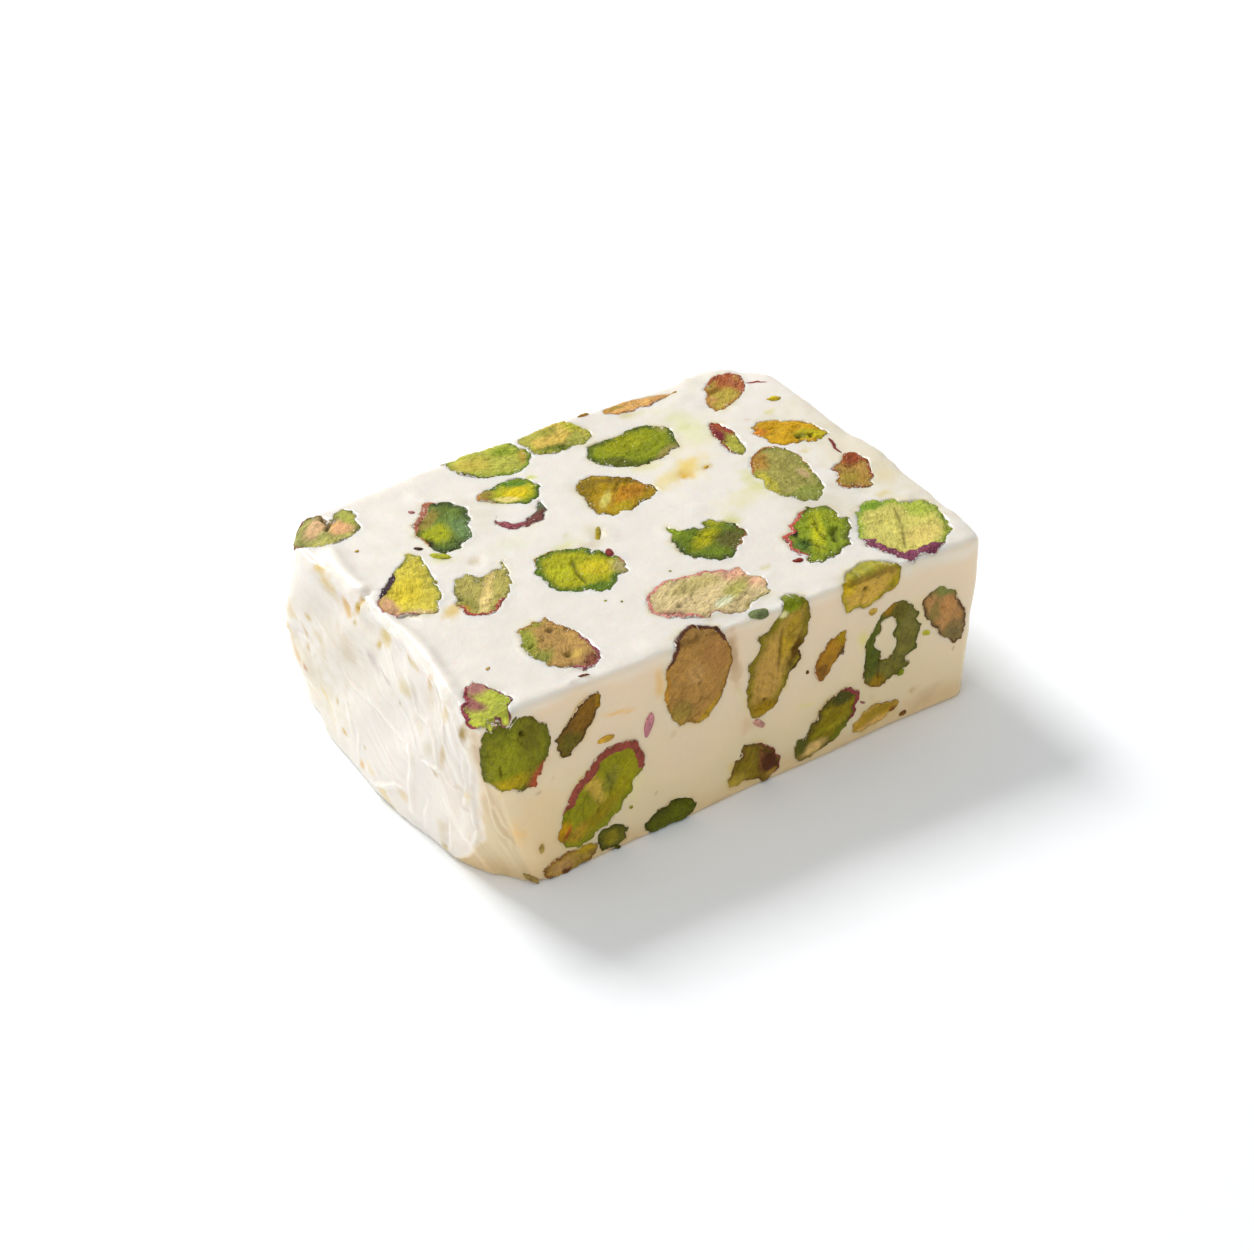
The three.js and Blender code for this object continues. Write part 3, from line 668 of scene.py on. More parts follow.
        blotches_glints_and_shade=[(3.0, 13.2, 4.2, 1.7, 70, "b28c42"), (5.7, 17.2, 3.0, 0.9, 72, "a98a24"),
                  (6.4, 15.3, 1.8, 0.45, 65, "5a3e03"), (1.3, 17.6, 2.2, 0.7, 60, "5f5a10"),
                  (2.2, 9.5, 1.8, 0.9, 0, "96760f"), (6.2, 20.9, 1.3, 0.8, 10, "7f8b10"),
                  (3.6, 19.4, 1.0, 0.6, 62, "6f6a14"), (4.9, 20.1, 0.5, 0.35, 0, "cfc890")],
        husk=[(-70, 20, 0.26, "462d0c")],
        cracks=[([(4.9, 18.9), (4.6, 16.0), (4.3, 13.4)], 0.2, 0.25),
                ([(2.6, 13.8), (4.2, 12.2)], 0.14, 0.1)],
        pits=[(2.4, 10.4, 0.22)]),
    "front_09": dict(
        flesh="a3751b", edge=("8f6015", 0.4), grain=(55, 0.3), ragged=0.8,
        blotches_glints_and_shade=[(12.4, 14.8, 0.8, 0.9, 0, "9f7e0c"), (12.4, 12.6, 0.7, 0.9, 0, "583f18"),
                  (9.6, 11.0, 1.2, 0.9, 40, "81581b")],
        husk=[(90, 240, 0.15, "8f501b")], cracks=[]),
    "front_10": dict(
        flesh="7e6a14", edge=("6a4c1e", 0.4), grain=(60, 0.2), ragged=1.0,
        blotches_glints_and_shade=[(2.6, 2.4, 1.2, 2.2, 20, "4c2812"), (-2.0, 1.8, 1.7, 0.8, 10, "a8902c"),
                  (1.7, 3.2, 0.3, 1.4, 0, "80502c"), (3.0, 1.0, 0.9, 0.5, 0, "9c7a2c")],
        husk=[(-40, 80, 0.22, "753331")], cracks=[([(1.7, 3.8), (2.0, 1.6)], 0.2, 0.2)]),
    "front_11": dict(
        flesh="7e6e08", edge=("584e0e", 0.8), grain=(35, 0.4), ragged=0.7,
        blotches_glints_and_shade=[(12.6, 6.9, 1.8, 0.8, 0, "464511"), (8.3, 1.9, 1.7, 0.7, 12, "cdab67"),
                  (6.8, 3.0, 0.8, 1.4, 0, "515214"), (10.8, 3.8, 2.4, 0.4, 10, "897e11"),
                  (12.2, 2.6, 1.3, 0.7, 30, "6a6e11")],
        husk=[(-15, 60, 0.45, "7c3535"), (60, 160, 0.22, "462d14")], cracks=[]),
    "front_12": dict(
        flesh="6a6426", edge=("4f5213", 0.5), grain=(70, 0.4), ragged=1.1,
        blotches_glints_and_shade=[(16.5, 11.6, 0.9, 4.0, 0, "4f580f"), (21.0, 12.2, 0.9, 3.2, -12, "726a2d"),
                  (18.8, 15.8, 1.2, 0.7, -20, "a3770c"), (17.2, 6.9, 1.1, 0.9, 0, "896b10"),
                  (20.2, 15.2, 1.3, 1.0, 0, "5f5819")],
        husk=[(200, 290, 0.18, "70500d")], cracks=[([(17.6, 10.0), (17.4, 7.0)], 0.18, 0.25)]),
    "front_13": dict(
        flesh="aa7c47", edge=("65502c", 0.6), grain=(-60, 0.3), ragged=0.7,
        blotches_glints_and_shade=[(26.2, 16.0, 1.6, 1.0, 0, "767a38"), (27.4, 9.4, 1.6, 1.8, 30, "766538"),
                  (24.8, 13.4, 0.9, 1.4, 0, "7e6a34"), (26.4, 13.6, 1.1, 1.0, 0, "b7834b")],
        husk=[(-80, 60, 0.2, "5c371c"), (130, 260, 0.2, "53371c")],
        cracks=[([(25.5, 13.9), (26.3, 12.7)], 0.14, 0.2)]),
    "front_14": dict(
        flesh="a5841e", edge=("ba933f", 0.5), grain=(10, 0.3), ragged=0.9,
        blotches_glints_and_shade=[(17.0, 1.5, 2.6, 0.7, 8, "c79f54"), (19.6, 2.2, 0.6, 0.6, 0, "73420f"),
                  (17.6, 3.2, 1.8, 0.5, 0, "947818")],
        husk=[(0, 100, 0.14, "834918")], cracks=[]),
}
print("described nuts", len(LOOKS))

# %% [markdown]
# The nuts on the sides that are out of sight get a description too, made from a few typical ones by seeded
# chance.

# %% Nuts out of sight
TYPICAL = {
    "green": dict(flesh="7c9618", edge=("46601a", 0.9), spot="97a418", husk="6c4438"),
    "lime": dict(flesh="a8b040", edge=("6f8c2c", 0.8), spot="c8bc40", husk="7c4060"),
    "deep": dict(flesh="5c7030", edge=("3d5228", 0.9), spot="8c9a20", husk="5c3430"),
    "olive": dict(flesh="8e9450", edge=("6c7434", 0.7), spot="b09858", husk="8c5c3c"),
    "pale": dict(flesh="bcb078", edge=("9c9858", 0.6), spot="d0b088", husk="b07870"),
    "golden": dict(flesh="b0921c", edge=("94801c", 0.6), spot="a8a020", husk="8c4c2c"),
    "brown": dict(flesh="a08450", edge=("846838", 0.6), spot="7c7c38", husk="6c3c38"),
}
chance = np.random.default_rng(41)
slot_of = {part["node"]: part["material_slot"] for part in frame["record"]["subparts"]}
X, Y, Z = np.eye(3)
AXES = {"top": (X, Y), "front": (X, Z), "edge": (X, Z), "back": (-X, Z), "far": (Y, Z), "base": (X, -Y)}


def face_of(name):
    """The face that cuts a nut, from the nut's name."""
    return name.split("_")[1]


def on_face(points, face):
    """Places on a face's drawing, across and up."""
    across, up = AXES[face]
    return np.column_stack([(points - DRAWING) @ across, (points - DRAWING) @ up])


def typical_look(name):
    """A description for a nut that is out of sight, in the manner of its tone."""
    tone = TYPICAL[slot_of[name].removeprefix("pistachio_")]
    cut = on_face(nuts[nut_range[name]][is_cut[nut_range[name]]], face_of(name))
    middle = cut.mean(0)
    half = 1.7 * cut.std(0)
    length = math.degrees(math.atan2(np.cov(cut.T)[0, 1], np.cov(cut.T)[0, 0]))
    spots = []
    for colour, share in ((tone["spot"], 0.45), (tone["spot"], 0.25), (tone["edge"][0], 0.25)):
        x, y = middle + half * chance.uniform(-0.5, 0.5, 2)
        spots.append((x, y, share * half.max(), share * half.min(), length, colour))
    start = chance.uniform(0, 360)
    husk = [(start, start + chance.uniform(60, 170), chance.uniform(0.2, 0.6), tone["husk"])]
    crack = [middle + half * chance.uniform(-0.6, 0.6, 2) for _ in range(2)]
    return dict(
        flesh=tone["flesh"], edge=tone["edge"], grain=(length, chance.uniform(0.3, 0.9)),
        ragged=chance.uniform(0.7, 1.2), blotches_glints_and_shade=spots, husk=husk, cracks=[(crack, 0.16, 0.2)])


print("tones", len(TYPICAL))

# %% [markdown]
# ## Ragged outlines and the distance from the rim
# The push slides each nut's points over the skin by a noise that is the same all the way down its walls, so
# that the walls stay whole. After it, every cut-face point is asked how far it is from the nearest wall:
# that distance places the green edge, the purple husk and the rounding of the rim.

# %% Tips and bays of the outlines
# for each nut: x, y, move across, move up, and how far round it the move reaches
DRAGS = {
    "top_01": [(-23.2, 17.2, -0.4, 0.3, 0.7), (-25.7, 20.4, -0.7, -1.9, 0.4)],
    "top_04": [(-12.0, 9.2, 1.0, 0.3, 0.5), (-10.3, 6.6, -0.6, -0.3, 0.7), (-5.7, 7.2, -0.5, 0.3, 0.7)],
    "top_07": [(14.5, 11.4, -0.4, -1.2, 0.7)],
    "top_08": [(0.2, 9.8, -0.6, 0.1, 0.7), (6.6, 4.0, 0.6, 0.3, 0.5), (6.5, 6.3, -0.7, -0.8, 0.7)],
    "top_09": [(19.6, 20.0, 0.9, 0.2, 0.4)],
    "top_10": [(27.4, 20.4, -0.4, -0.5, 1.0), (22.5, 17.8, 0.3, -0.2, 0.7)],
    "top_12": [(22.0, 8.4, 0.4, -0.3, 0.6), (25.1, 2.7, 0.4, 0.5, 1.0)],
    "top_13": [(16.7, -0.7, 0.7, 0.0, 0.7), (16.2, -3.8, 0.9, 0.3, 0.7), (17.3, -6.0, 0.8, 0.7, 0.7),
               (19.1, -7.7, 0.8, 0.5, 0.7), (22.3, -5.2, 0.2, -0.6, 0.7)],
    "top_14": [(25.7, -3.3, -0.6, 0.4, 0.6), (24.4, -8.9, 0.7, 1.3, 0.7), (23.4, -7.9, 0.6, 1.1, 0.5),
               (26.8, -8.3, 0.3, -0.7, 0.5), (23.7, -6.2, 0.3, 1.1, 0.4), (24.7, -7.6, 0.6, 0.8, 0.2)],
    "top_15": [(3.4, -3.2, -0.2, 1.1, 0.5), (9.3, -9.6, -0.3, 0.7, 0.8), (7.7, -10.9, -0.5, 0.4, 0.7)],
    "top_16": [(13.6, -11.4, -0.9, -0.1, 0.5), (12.0, -14.5, -0.8, -0.2, 0.5),
               (18.6, -14.8, -0.3, 0.2, 0.7)],
    "top_17": [(22.2, -11.7, -0.4, 0.5, 0.5), (26.5, -11.0, -0.6, -0.8, 1.0),
               (28.3, -12.3, -0.6, -0.8, 0.8), (28.3, -20.2, 0.3, -0.2, 0.7),
               (21.1, -22.3, -0.6, -1.2, 1.1), (23.8, -23.2, -0.0, -0.9, 0.7)],
    "top_18": [(-22.8, 1.8, -0.5, 0.4, 0.7), (-23.8, -1.3, -0.6, 0.2, 0.7)],
    "top_19": [(-20.8, 1.6, -0.7, 0.5, 0.5), (-22.7, -1.0, 0.4, 1.3, 0.4), (-17.9, 1.7, -1.4, -1.8, 0.7),
               (-19.3, 2.4, -0.6, -0.0, 0.4), (-15.3, 0.6, 0.5, 1.3, 0.4), (-16.1, -1.6, 0.1, -0.8, 0.5)],
    "top_20": [(-21.6, -10.5, 0.4, -0.9, 1.0), (-19.6, -9.2, 0.2, -0.6, 0.7),
               (-16.9, -10.0, 0.3, 0.9, 0.5), (-22.3, -14.9, -0.6, -1.1, 0.4),
               (-19.8, -18.6, 0.1, 0.6, 0.7)],
    "top_21": [(5.3, -18.4, 0.7, -0.5, 0.6), (-1.7, -19.5, 0.4, 0.9, 1.0), (-4.8, -18.4, 0.1, 0.6, 0.7),
               (4.9, -13.8, 0.6, 0.5, 0.7)],
    "top_22": [(-11.9, -0.3, -0.5, 0.6, 0.5), (-13.3, -2.3, -0.5, 0.1, 0.5), (-4.8, -6.6, 0.2, -0.4, 0.5),
               (-5.6, -1.3, -0.5, -0.8, 0.7), (-11.1, -8.2, 0.1, 0.6, 1.0)],
    "top_23": [(-33.0, -21.4, 0.5, 1.0, 0.7), (-32.2, -22.9, 0.8, 1.3, 0.7),
               (-27.7, -20.7, -0.1, 0.7, 0.6), (-31.9, -16.9, 0.5, -0.3, 0.7),
               (-29.2, -15.3, 0.3, 0.6, 0.5)],
    "edge_01": [(13.2, 18.3, -0.3, -0.5, 0.7), (15.8, 17.5, -0.5, -0.3, 0.7)],
    "front_01": [(-31.5, 18.8, 0.1, 1.4, 0.7), (-30.3, 18.8, 0.2, 1.6, 0.7), (-29.3, 11.0, -0.0, 0.7, 1.0),
               (-27.3, 10.6, -0.5, 0.8, 0.7), (-31.7, 12.8, 0.3, 0.3, 0.7)],
    "front_02": [(-23.6, 13.6, 0.5, 0.3, 0.5), (-23.1, 15.4, -0.7, 0.3, 0.4)],
    "front_03": [(-14.4, 7.3, -0.5, 0.2, 0.8), (-16.1, 5.6, -0.5, 0.2, 0.7)],
    "front_04": [(-16.1, 1.3, -0.4, 0.2, 0.4), (-17.5, 4.0, -0.3, -0.4, 0.5)],
    "front_07": [(-10.3, 17.2, 0.4, -0.1, 0.7)],
    "front_08": [(2.4, 18.0, -0.7, 0.3, 0.7), (0.6, 15.3, -0.8, 0.3, 0.7), (-0.1, 11.6, -0.2, 0.7, 0.6),
               (7.1, 15.1, -0.5, 0.2, 0.7), (6.0, 12.4, -0.5, 0.2, 0.7), (4.7, 10.1, -0.5, 0.2, 0.6)],
    "front_09": [(11.9, 13.3, 0.7, -0.5, 0.4)],
    "front_10": [(-2.8, 2.0, -0.5, 0.5, 0.5), (-2.0, 5.2, 1.4, -0.7, 0.6)],
    "front_11": [(7.0, 5.0, 0.7, -1.2, 0.7), (8.2, 6.4, 0.8, -1.2, 0.6)],
    "front_12": [(14.5, 9.8, 0.7, -0.5, 0.7), (14.8, 12.9, 0.5, -0.2, 0.6), (17.1, 17.1, 0.5, -0.3, 0.7),
               (19.4, 6.5, -1.0, 0.1, 0.7), (21.4, 9.0, -1.0, -0.0, 0.7), (18.1, 5.7, -0.7, 0.3, 0.5),
               (18.9, 13.2, 0.7, -0.3, 0.5), (18.2, 11.2, 0.2, -0.8, 0.4)],
    "front_13": [(23.0, 16.9, 1.3, -1.0, 0.7), (24.4, 17.3, 0.8, -0.8, 0.6), (27.6, 15.2, 0.5, 0.2, 0.5),
               (27.6, 8.5, 0.2, -0.5, 0.6)],
}
print("outlines moved by hand", len(DRAGS))

# %% [markdown]
# Noise of three sizes now pushes the outlines about, and the distance of each point from the rim is
# measured. Colour and relief both use it later.

# %% Push and measure
PUSHES = ((2.2, 0.35, 3), (0.9, 0.3, 7), (0.45, 0.2, 11))     # size, amount and seed of each noise
USUAL_RAGGEDNESS = 0.9
WALL_DEPTH = 0.55             # the walls are measured down to here

raggedness = np.ones(len(nuts))
for name in nut_names:
    look = LOOKS.get(name.removeprefix("pistachio_"))
    raggedness[nut_range[name]] = look["ragged"] if look else USUAL_RAGGEDNESS
for short_name, moves in DRAGS.items():
    own = nut_range["pistachio_" + short_name]
    across, up = AXES[face_of("pistachio_" + short_name)]
    place = on_face(nuts[own], face_of("pistachio_" + short_name))
    for x, y, move_across, move_up, reach in moves:
        share = np.exp(-(np.hypot(*(place - (x, y)).T) / reach) ** 2)
        nuts[own] += share[:, None] * (move_across * across + move_up * up)
surface_place = nuts + nut_out * nut_depth[:, None]
push = np.zeros_like(nuts)
for size, amount, seed in PUSHES:
    sideways = np.column_stack([noise(surface_place, size, seed + axis) for axis in range(3)])
    push += sideways * amount
nuts += across_skin(push, nut_out, 1.0) * raggedness[:, None]

wall = np.flatnonzero((nut_depth >= CUT_DEPTH) & (nut_depth < WALL_DEPTH))
wall_tree = KDTree(len(wall))
for i, point in zip(wall.tolist(), nuts[wall].tolist()):
    wall_tree.insert(point, i)
wall_tree.balance()
rim = np.zeros(len(nuts))
for i in np.flatnonzero(is_cut).tolist():
    nearest, _, _ = wall_tree.find(nuts[i])
    gap = nuts[i] - np.array(nearest)
    rim[i] = np.linalg.norm(gap - nut_out[i] * (gap @ nut_out[i]))
print("widest rim distance", rim.max().round(2))

# %% [markdown]
# ## Swells
# The knife drags the soft sweet up and down, most of all along its edges. One function gives this slow
# swell for any place, so the block and the nuts in it rise and sink together.

# %% Swells of the whole surface
top_ring = KDTree(count)
for i, point in enumerate(rings[-1].tolist()):
    top_ring.insert(point, i)
top_ring.balance()
FRONT_RIGHT_CORNER = (32.2, -22.6)
EDGE_ZONE = 1.8      # how far the uneven edges reach in


def swell(points):
    """The slow ups and downs of the bar's surface, strongest along its edges."""
    from_edge = np.array([top_ring.find(point)[2] for point in points.tolist()])
    from_corner = np.hypot(*(points[:, :2] - FRONT_RIGHT_CORNER).T)
    near_edge = np.exp(-(np.minimum(from_edge, from_corner) / EDGE_ZONE) ** 2)
    wave = 0.40 * noise(points, 6.0, 216) + 0.22 * noise(points, 2.4, 217, 2)
    return 0.17 * noise(points, 11.0, 210) + 0.08 * noise(points, 4.2, 211) + near_edge * wave


print("points round the top edge", count)

# %% [markdown]
# ## Colour and relief of each nut
# The flesh colour is mixed towards the edge colour near the rim, then each blotch is laid over it with a
# wavering outline; a few blotches are painted glints and sheens, and one is painted shadow in a crevice.
# Cracks and pits are deep, and they are painted dark too, as painted shade. The relief is small: a cut nut is
# nearly flat, with a grain along its length, a slightly rounded rim, and the husk standing a little proud.

# %% Light on each face
RIM_BROWN = paint("6c4420")
TOP_LIGHT = 1.20      # how bright a white surface is seen on the top
SIDE_LIGHT = 0.70     # on the long cut side
END_LIGHT = 1.10      # and on the torn end


def light_on(out):
    """The light that falls on a surface, by the way it faces."""
    turned_down = fade(0.8, 0.3, out[:, 2]) * fade(0.3, 0.7, -out[:, 1])
    return (TOP_LIGHT + (SIDE_LIGHT - TOP_LIGHT) * turned_down)[:, None]


def as_paint(colour):
    """Keeps a colour within what paint can be, neither black nor brighter than white."""
    return np.clip(colour, 0.002, 0.95)


print("light on top, side and end", TOP_LIGHT, SIDE_LIGHT, END_LIGHT)


# %% [markdown]
# A nut is put together from three functions. The first gives its colour inwards from the rim, the second the
# cracks and pits in it, and the third the skin that is left along parts of its rim.

# %% Flesh, grooves and husk
def flesh_colour(look, place, from_rim, wander):
    """The main colour, with its rim zone and its blotches, a few of them painted glints, sheens and shadow.
    """
    edge_colour, edge_width = look["edge"]
    edge_share = fade(edge_width * 1.3, edge_width * 0.2, from_rim + 0.25 * wander)
    colour = blend(paint(look["flesh"]), paint(edge_colour), edge_share)
    for x, y, length, width, angle, code in look["blotches_glints_and_shade"]:
        far = oval(place, x, y, length, width, angle)
        colour = blend(colour, paint(code), fade(1.5, 0.5, far + 0.35 * wander))
    return colour


def grooves(look, place, wander):
    """How deep the cracks and the pits are at each place."""
    groove = np.zeros(len(place))
    for line, width, depth in look["cracks"]:
        gap, part = distance_to_line(place, line)
        ends = fade(0, 0.15, part) * fade(1, 0.85, part)
        groove += depth * ends * np.exp(-((gap + 0.08 * wander) / width) ** 2)
    for x, y, radius in look.get("pits", []):
        groove += 0.45 * np.exp(-(np.hypot(*(place - (x, y)).T) / radius) ** 2)
    return groove


def husk_round(look, place, middle, wander):
    """Colour and width of the skin round the rim, by the direction from the middle."""
    bearing = np.degrees(np.arctan2(*(place - middle).T[::-1]))
    husk_width = 0.26 * wander - 0.06
    husk_colour = np.tile(RIM_BROWN, (len(place), 1))
    for start, end, width, code in look["husk"]:
        away = np.abs((bearing - (start + end) / 2 + 180) % 360 - 180)
        here = width * fade((end - start) / 2 + 8, (end - start) / 2 - 8, away) * (1 + 0.45 * wander)
        husk_colour = np.where((here > husk_width)[:, None], paint(code), husk_colour)
        husk_width = np.maximum(husk_width, here)
    return husk_colour, husk_width


# %% [markdown]
# Each nut is now painted in turn. Strands along its grain vary the flesh. The creases, cracks and pits are
# painted darker, and so is the flesh near the rim: painted shade. The same strands and creases also shape the
# relief, so that light and colour agree.

# %% Paint the nuts
tint = np.zeros((len(nuts), 3))
husk_tint = np.zeros((len(nuts), 3))
husk_gap = np.zeros(len(nuts))
glint_chance = np.zeros(len(nuts))
grain = np.zeros((len(nuts), 3))
lift = np.zeros(len(nuts))
for number, name in enumerate(nut_names):
    own = nut_range[name]
    look = LOOKS.get(name.removeprefix("pistachio_")) or typical_look(name)
    light = light_on(nut_out[own])
    points = nuts[own]
    place = on_face(points, face_of(name))
    from_rim = rim[own]
    wander = noise(points, 0.9, 50 + number, 4)
    colour = flesh_colour(look, place, from_rim, wander)
    angle, strength = look["grain"]
    turned = math.radians(angle)
    along = place @ (math.cos(turned), math.sin(turned))
    across = place @ (-math.sin(turned), math.cos(turned))
    fibre = np.column_stack([along * 0.16, across, nut_depth[own]]) + 7.0 * number
    strands = noise(fibre, 0.42, 90, 2)
    creases = 1 - np.abs(noise(points, 1.5, 80 + number, 3)) * 6
    creases = np.clip(creases, 0, 1) * fade(-0.3, 0.5, noise(points, 2.5, 81))
    mottle = 1 + 0.16 * noise(points, 1.3, 60 + number, 2) + 0.12 * wander + 0.25 * strength * strands
    # painted shade: the flesh is darker along the creases
    mottle -= 0.25 * creases
    groove = grooves(look, place, wander)
    # painted shade: darker in the cracks and pits
    mottle *= 1 - 0.6 * np.clip(groove / 0.35, 0, 1)
    # painted shade: the flesh darker towards the rim
    rim_shade = 1 - 0.18 * fade(0.4, 0.0, from_rim)
    tint[own] = as_paint(colour * (mottle * rim_shade)[:, None] / light)

    husk_colour, husk_width = husk_round(look, place, place[is_cut[own]].mean(0), wander)
    husk_tint[own] = as_paint(husk_colour * (1 + 0.35 * noise(points, 0.5, 140))[:, None] / light)
    husk_gap[own] = from_rim - husk_width

    # painted highlights: the next lines give the chance of a painted glint, higher on faces that look up and
    # near the rim
    looks_up = fade(0.3, 0.8, nut_out[own, 2])
    glint_chance[own] = (0.3 + 0.7 * looks_up) * (0.35 + 0.65 * fade(1.2, 0.2, from_rim))
    grain[own] = np.column_stack([along, across, nut_depth[own]]) + 3.0 * number
    relief = 0.02 + 0.14 * noise(points, 1.8, 70 + number) + 0.12 * noise(points, 0.6, 71, 2)
    relief += 0.10 * strength * strands - 0.07 * fade(0.4, 0.0, from_rim) - 0.12 * creases
    relief += 0.10 * fade(0.1, -0.15, husk_gap[own]) - groove
    lift[own] = relief

# %% [markdown]
# The relief fades out down the walls, where it would only push them into the nougat. The slow swell of the
# whole surface is added last, and then each point moves straight outwards.

# %% Raise the relief
lift *= fade(0.9, 0.15, nut_depth)
nut_bodies = BVHTree.FromPolygons(nuts.tolist(), np.vstack(nut_quads).tolist())
lift += swell(surface_place)
nuts += nut_out * lift[:, None]
nuts[:, 2] = np.maximum(nuts[:, 2], 0.0)
print("nut relief from", lift.min().round(2), "to", lift.max().round(2))

# %% [markdown]
# ## The nougat's surface
# The skin becomes an even net like the nuts. Where small forms need it, round the nuts and on the torn end,
# each square is split in four. Under a nut the skin is pushed in by a millimetre, so that the nut's own
# finer net draws the line where the two meet; next to a nut the soft nougat dips, or stands up in a small
# lip.

# %% Net of the block
FARTHEST_GAP = 3.0                           # nuts farther than this don't matter
PROBE_DEPTH = 0.45                           # the nuts are felt for a little under the skin
PROBE_REACH = 1.2                            # and from there outwards by this much
TO_CAMERA = np.array((-0.46, -0.68, 0.57))   # the side that shows most gets the finest net
NOUGAT_NET = 0.7
TORN_END = 27.5                              # the torn end starts this far to the left


def refine(mesh, chosen):
    """Splits the chosen faces of a mesh in four."""
    work = bmesh.new()
    work.from_mesh(mesh)
    work.faces.ensure_lookup_table()
    edges = {edge for i in np.flatnonzero(chosen) for edge in work.faces[int(i)].edges}
    bmesh.ops.subdivide_edges(work, edges=list(edges), cuts=1, use_grid_fill=True)
    work.to_mesh(mesh)
    work.free()


def gap_to_nuts(points, out):
    """How far each place is from the nearest nut, below 0 inside its outline."""
    gap = np.full(len(points), FARTHEST_GAP)
    under = points - out * PROBE_DEPTH
    for i, (point, outwards) in enumerate(zip(under.tolist(), out.tolist())):
        distance = nut_bodies.find_nearest(point, FARTHEST_GAP)[3]
        if distance is not None:
            inside = nut_bodies.ray_cast(point, outwards, PROBE_REACH)[0] is not None
            gap[i] = -distance if inside else distance
    return gap


def settle(mesh):
    """Puts the points of the net back on the skin, after a split or a remesh."""
    move_points(mesh, np.array([skin.find_nearest(point)[0] for point in points_of(mesh).tolist()]))
    points = points_of(mesh)
    out = normals_of(mesh)
    return points, out, gap_to_nuts(points, out)


def lowest_corner(mesh, values):
    """One value for each face, the lowest of those at its corners."""
    starts = read(mesh.polygons, "loop_start", 1, np.int32)
    return np.minimum.reduceat(values[corners_of(mesh)], starts)


bar_mesh = even_net(skin_mesh, NOUGAT_NET)
points, out, gap = settle(bar_mesh)
at_end = lowest_corner(bar_mesh, -points[:, 0]) > TORN_END
at_top_edge = lowest_corner(bar_mesh, np.abs(out[:, 2] - 0.5)) < 0.45
near_nut = lowest_corner(bar_mesh, np.abs(gap)) < 0.3
refine(bar_mesh, at_end | at_top_edge | near_nut)
points, out, gap = settle(bar_mesh)
in_view = lowest_corner(bar_mesh, out @ TO_CAMERA) > 0.1
on_end = lowest_corner(bar_mesh, -out[:, 0]) > 0.3
near_nut = lowest_corner(bar_mesh, np.abs(gap)) < 0.07
refine(bar_mesh, in_view & (on_end | near_nut))
points, out, gap = settle(bar_mesh)
print("nougat points", len(points), "triangles", len(triangles_of(bar_mesh)))

# %% [markdown]
# ## Folds of the torn end
# Warm nougat stretches before it tears. The end is drawn into thin folds that slant down towards the near
# corner and steepen there. The large ones are laid as lines on the surface, each with a height and a
# width. Between them runs a fibre: noise that is stretched along the same flow.

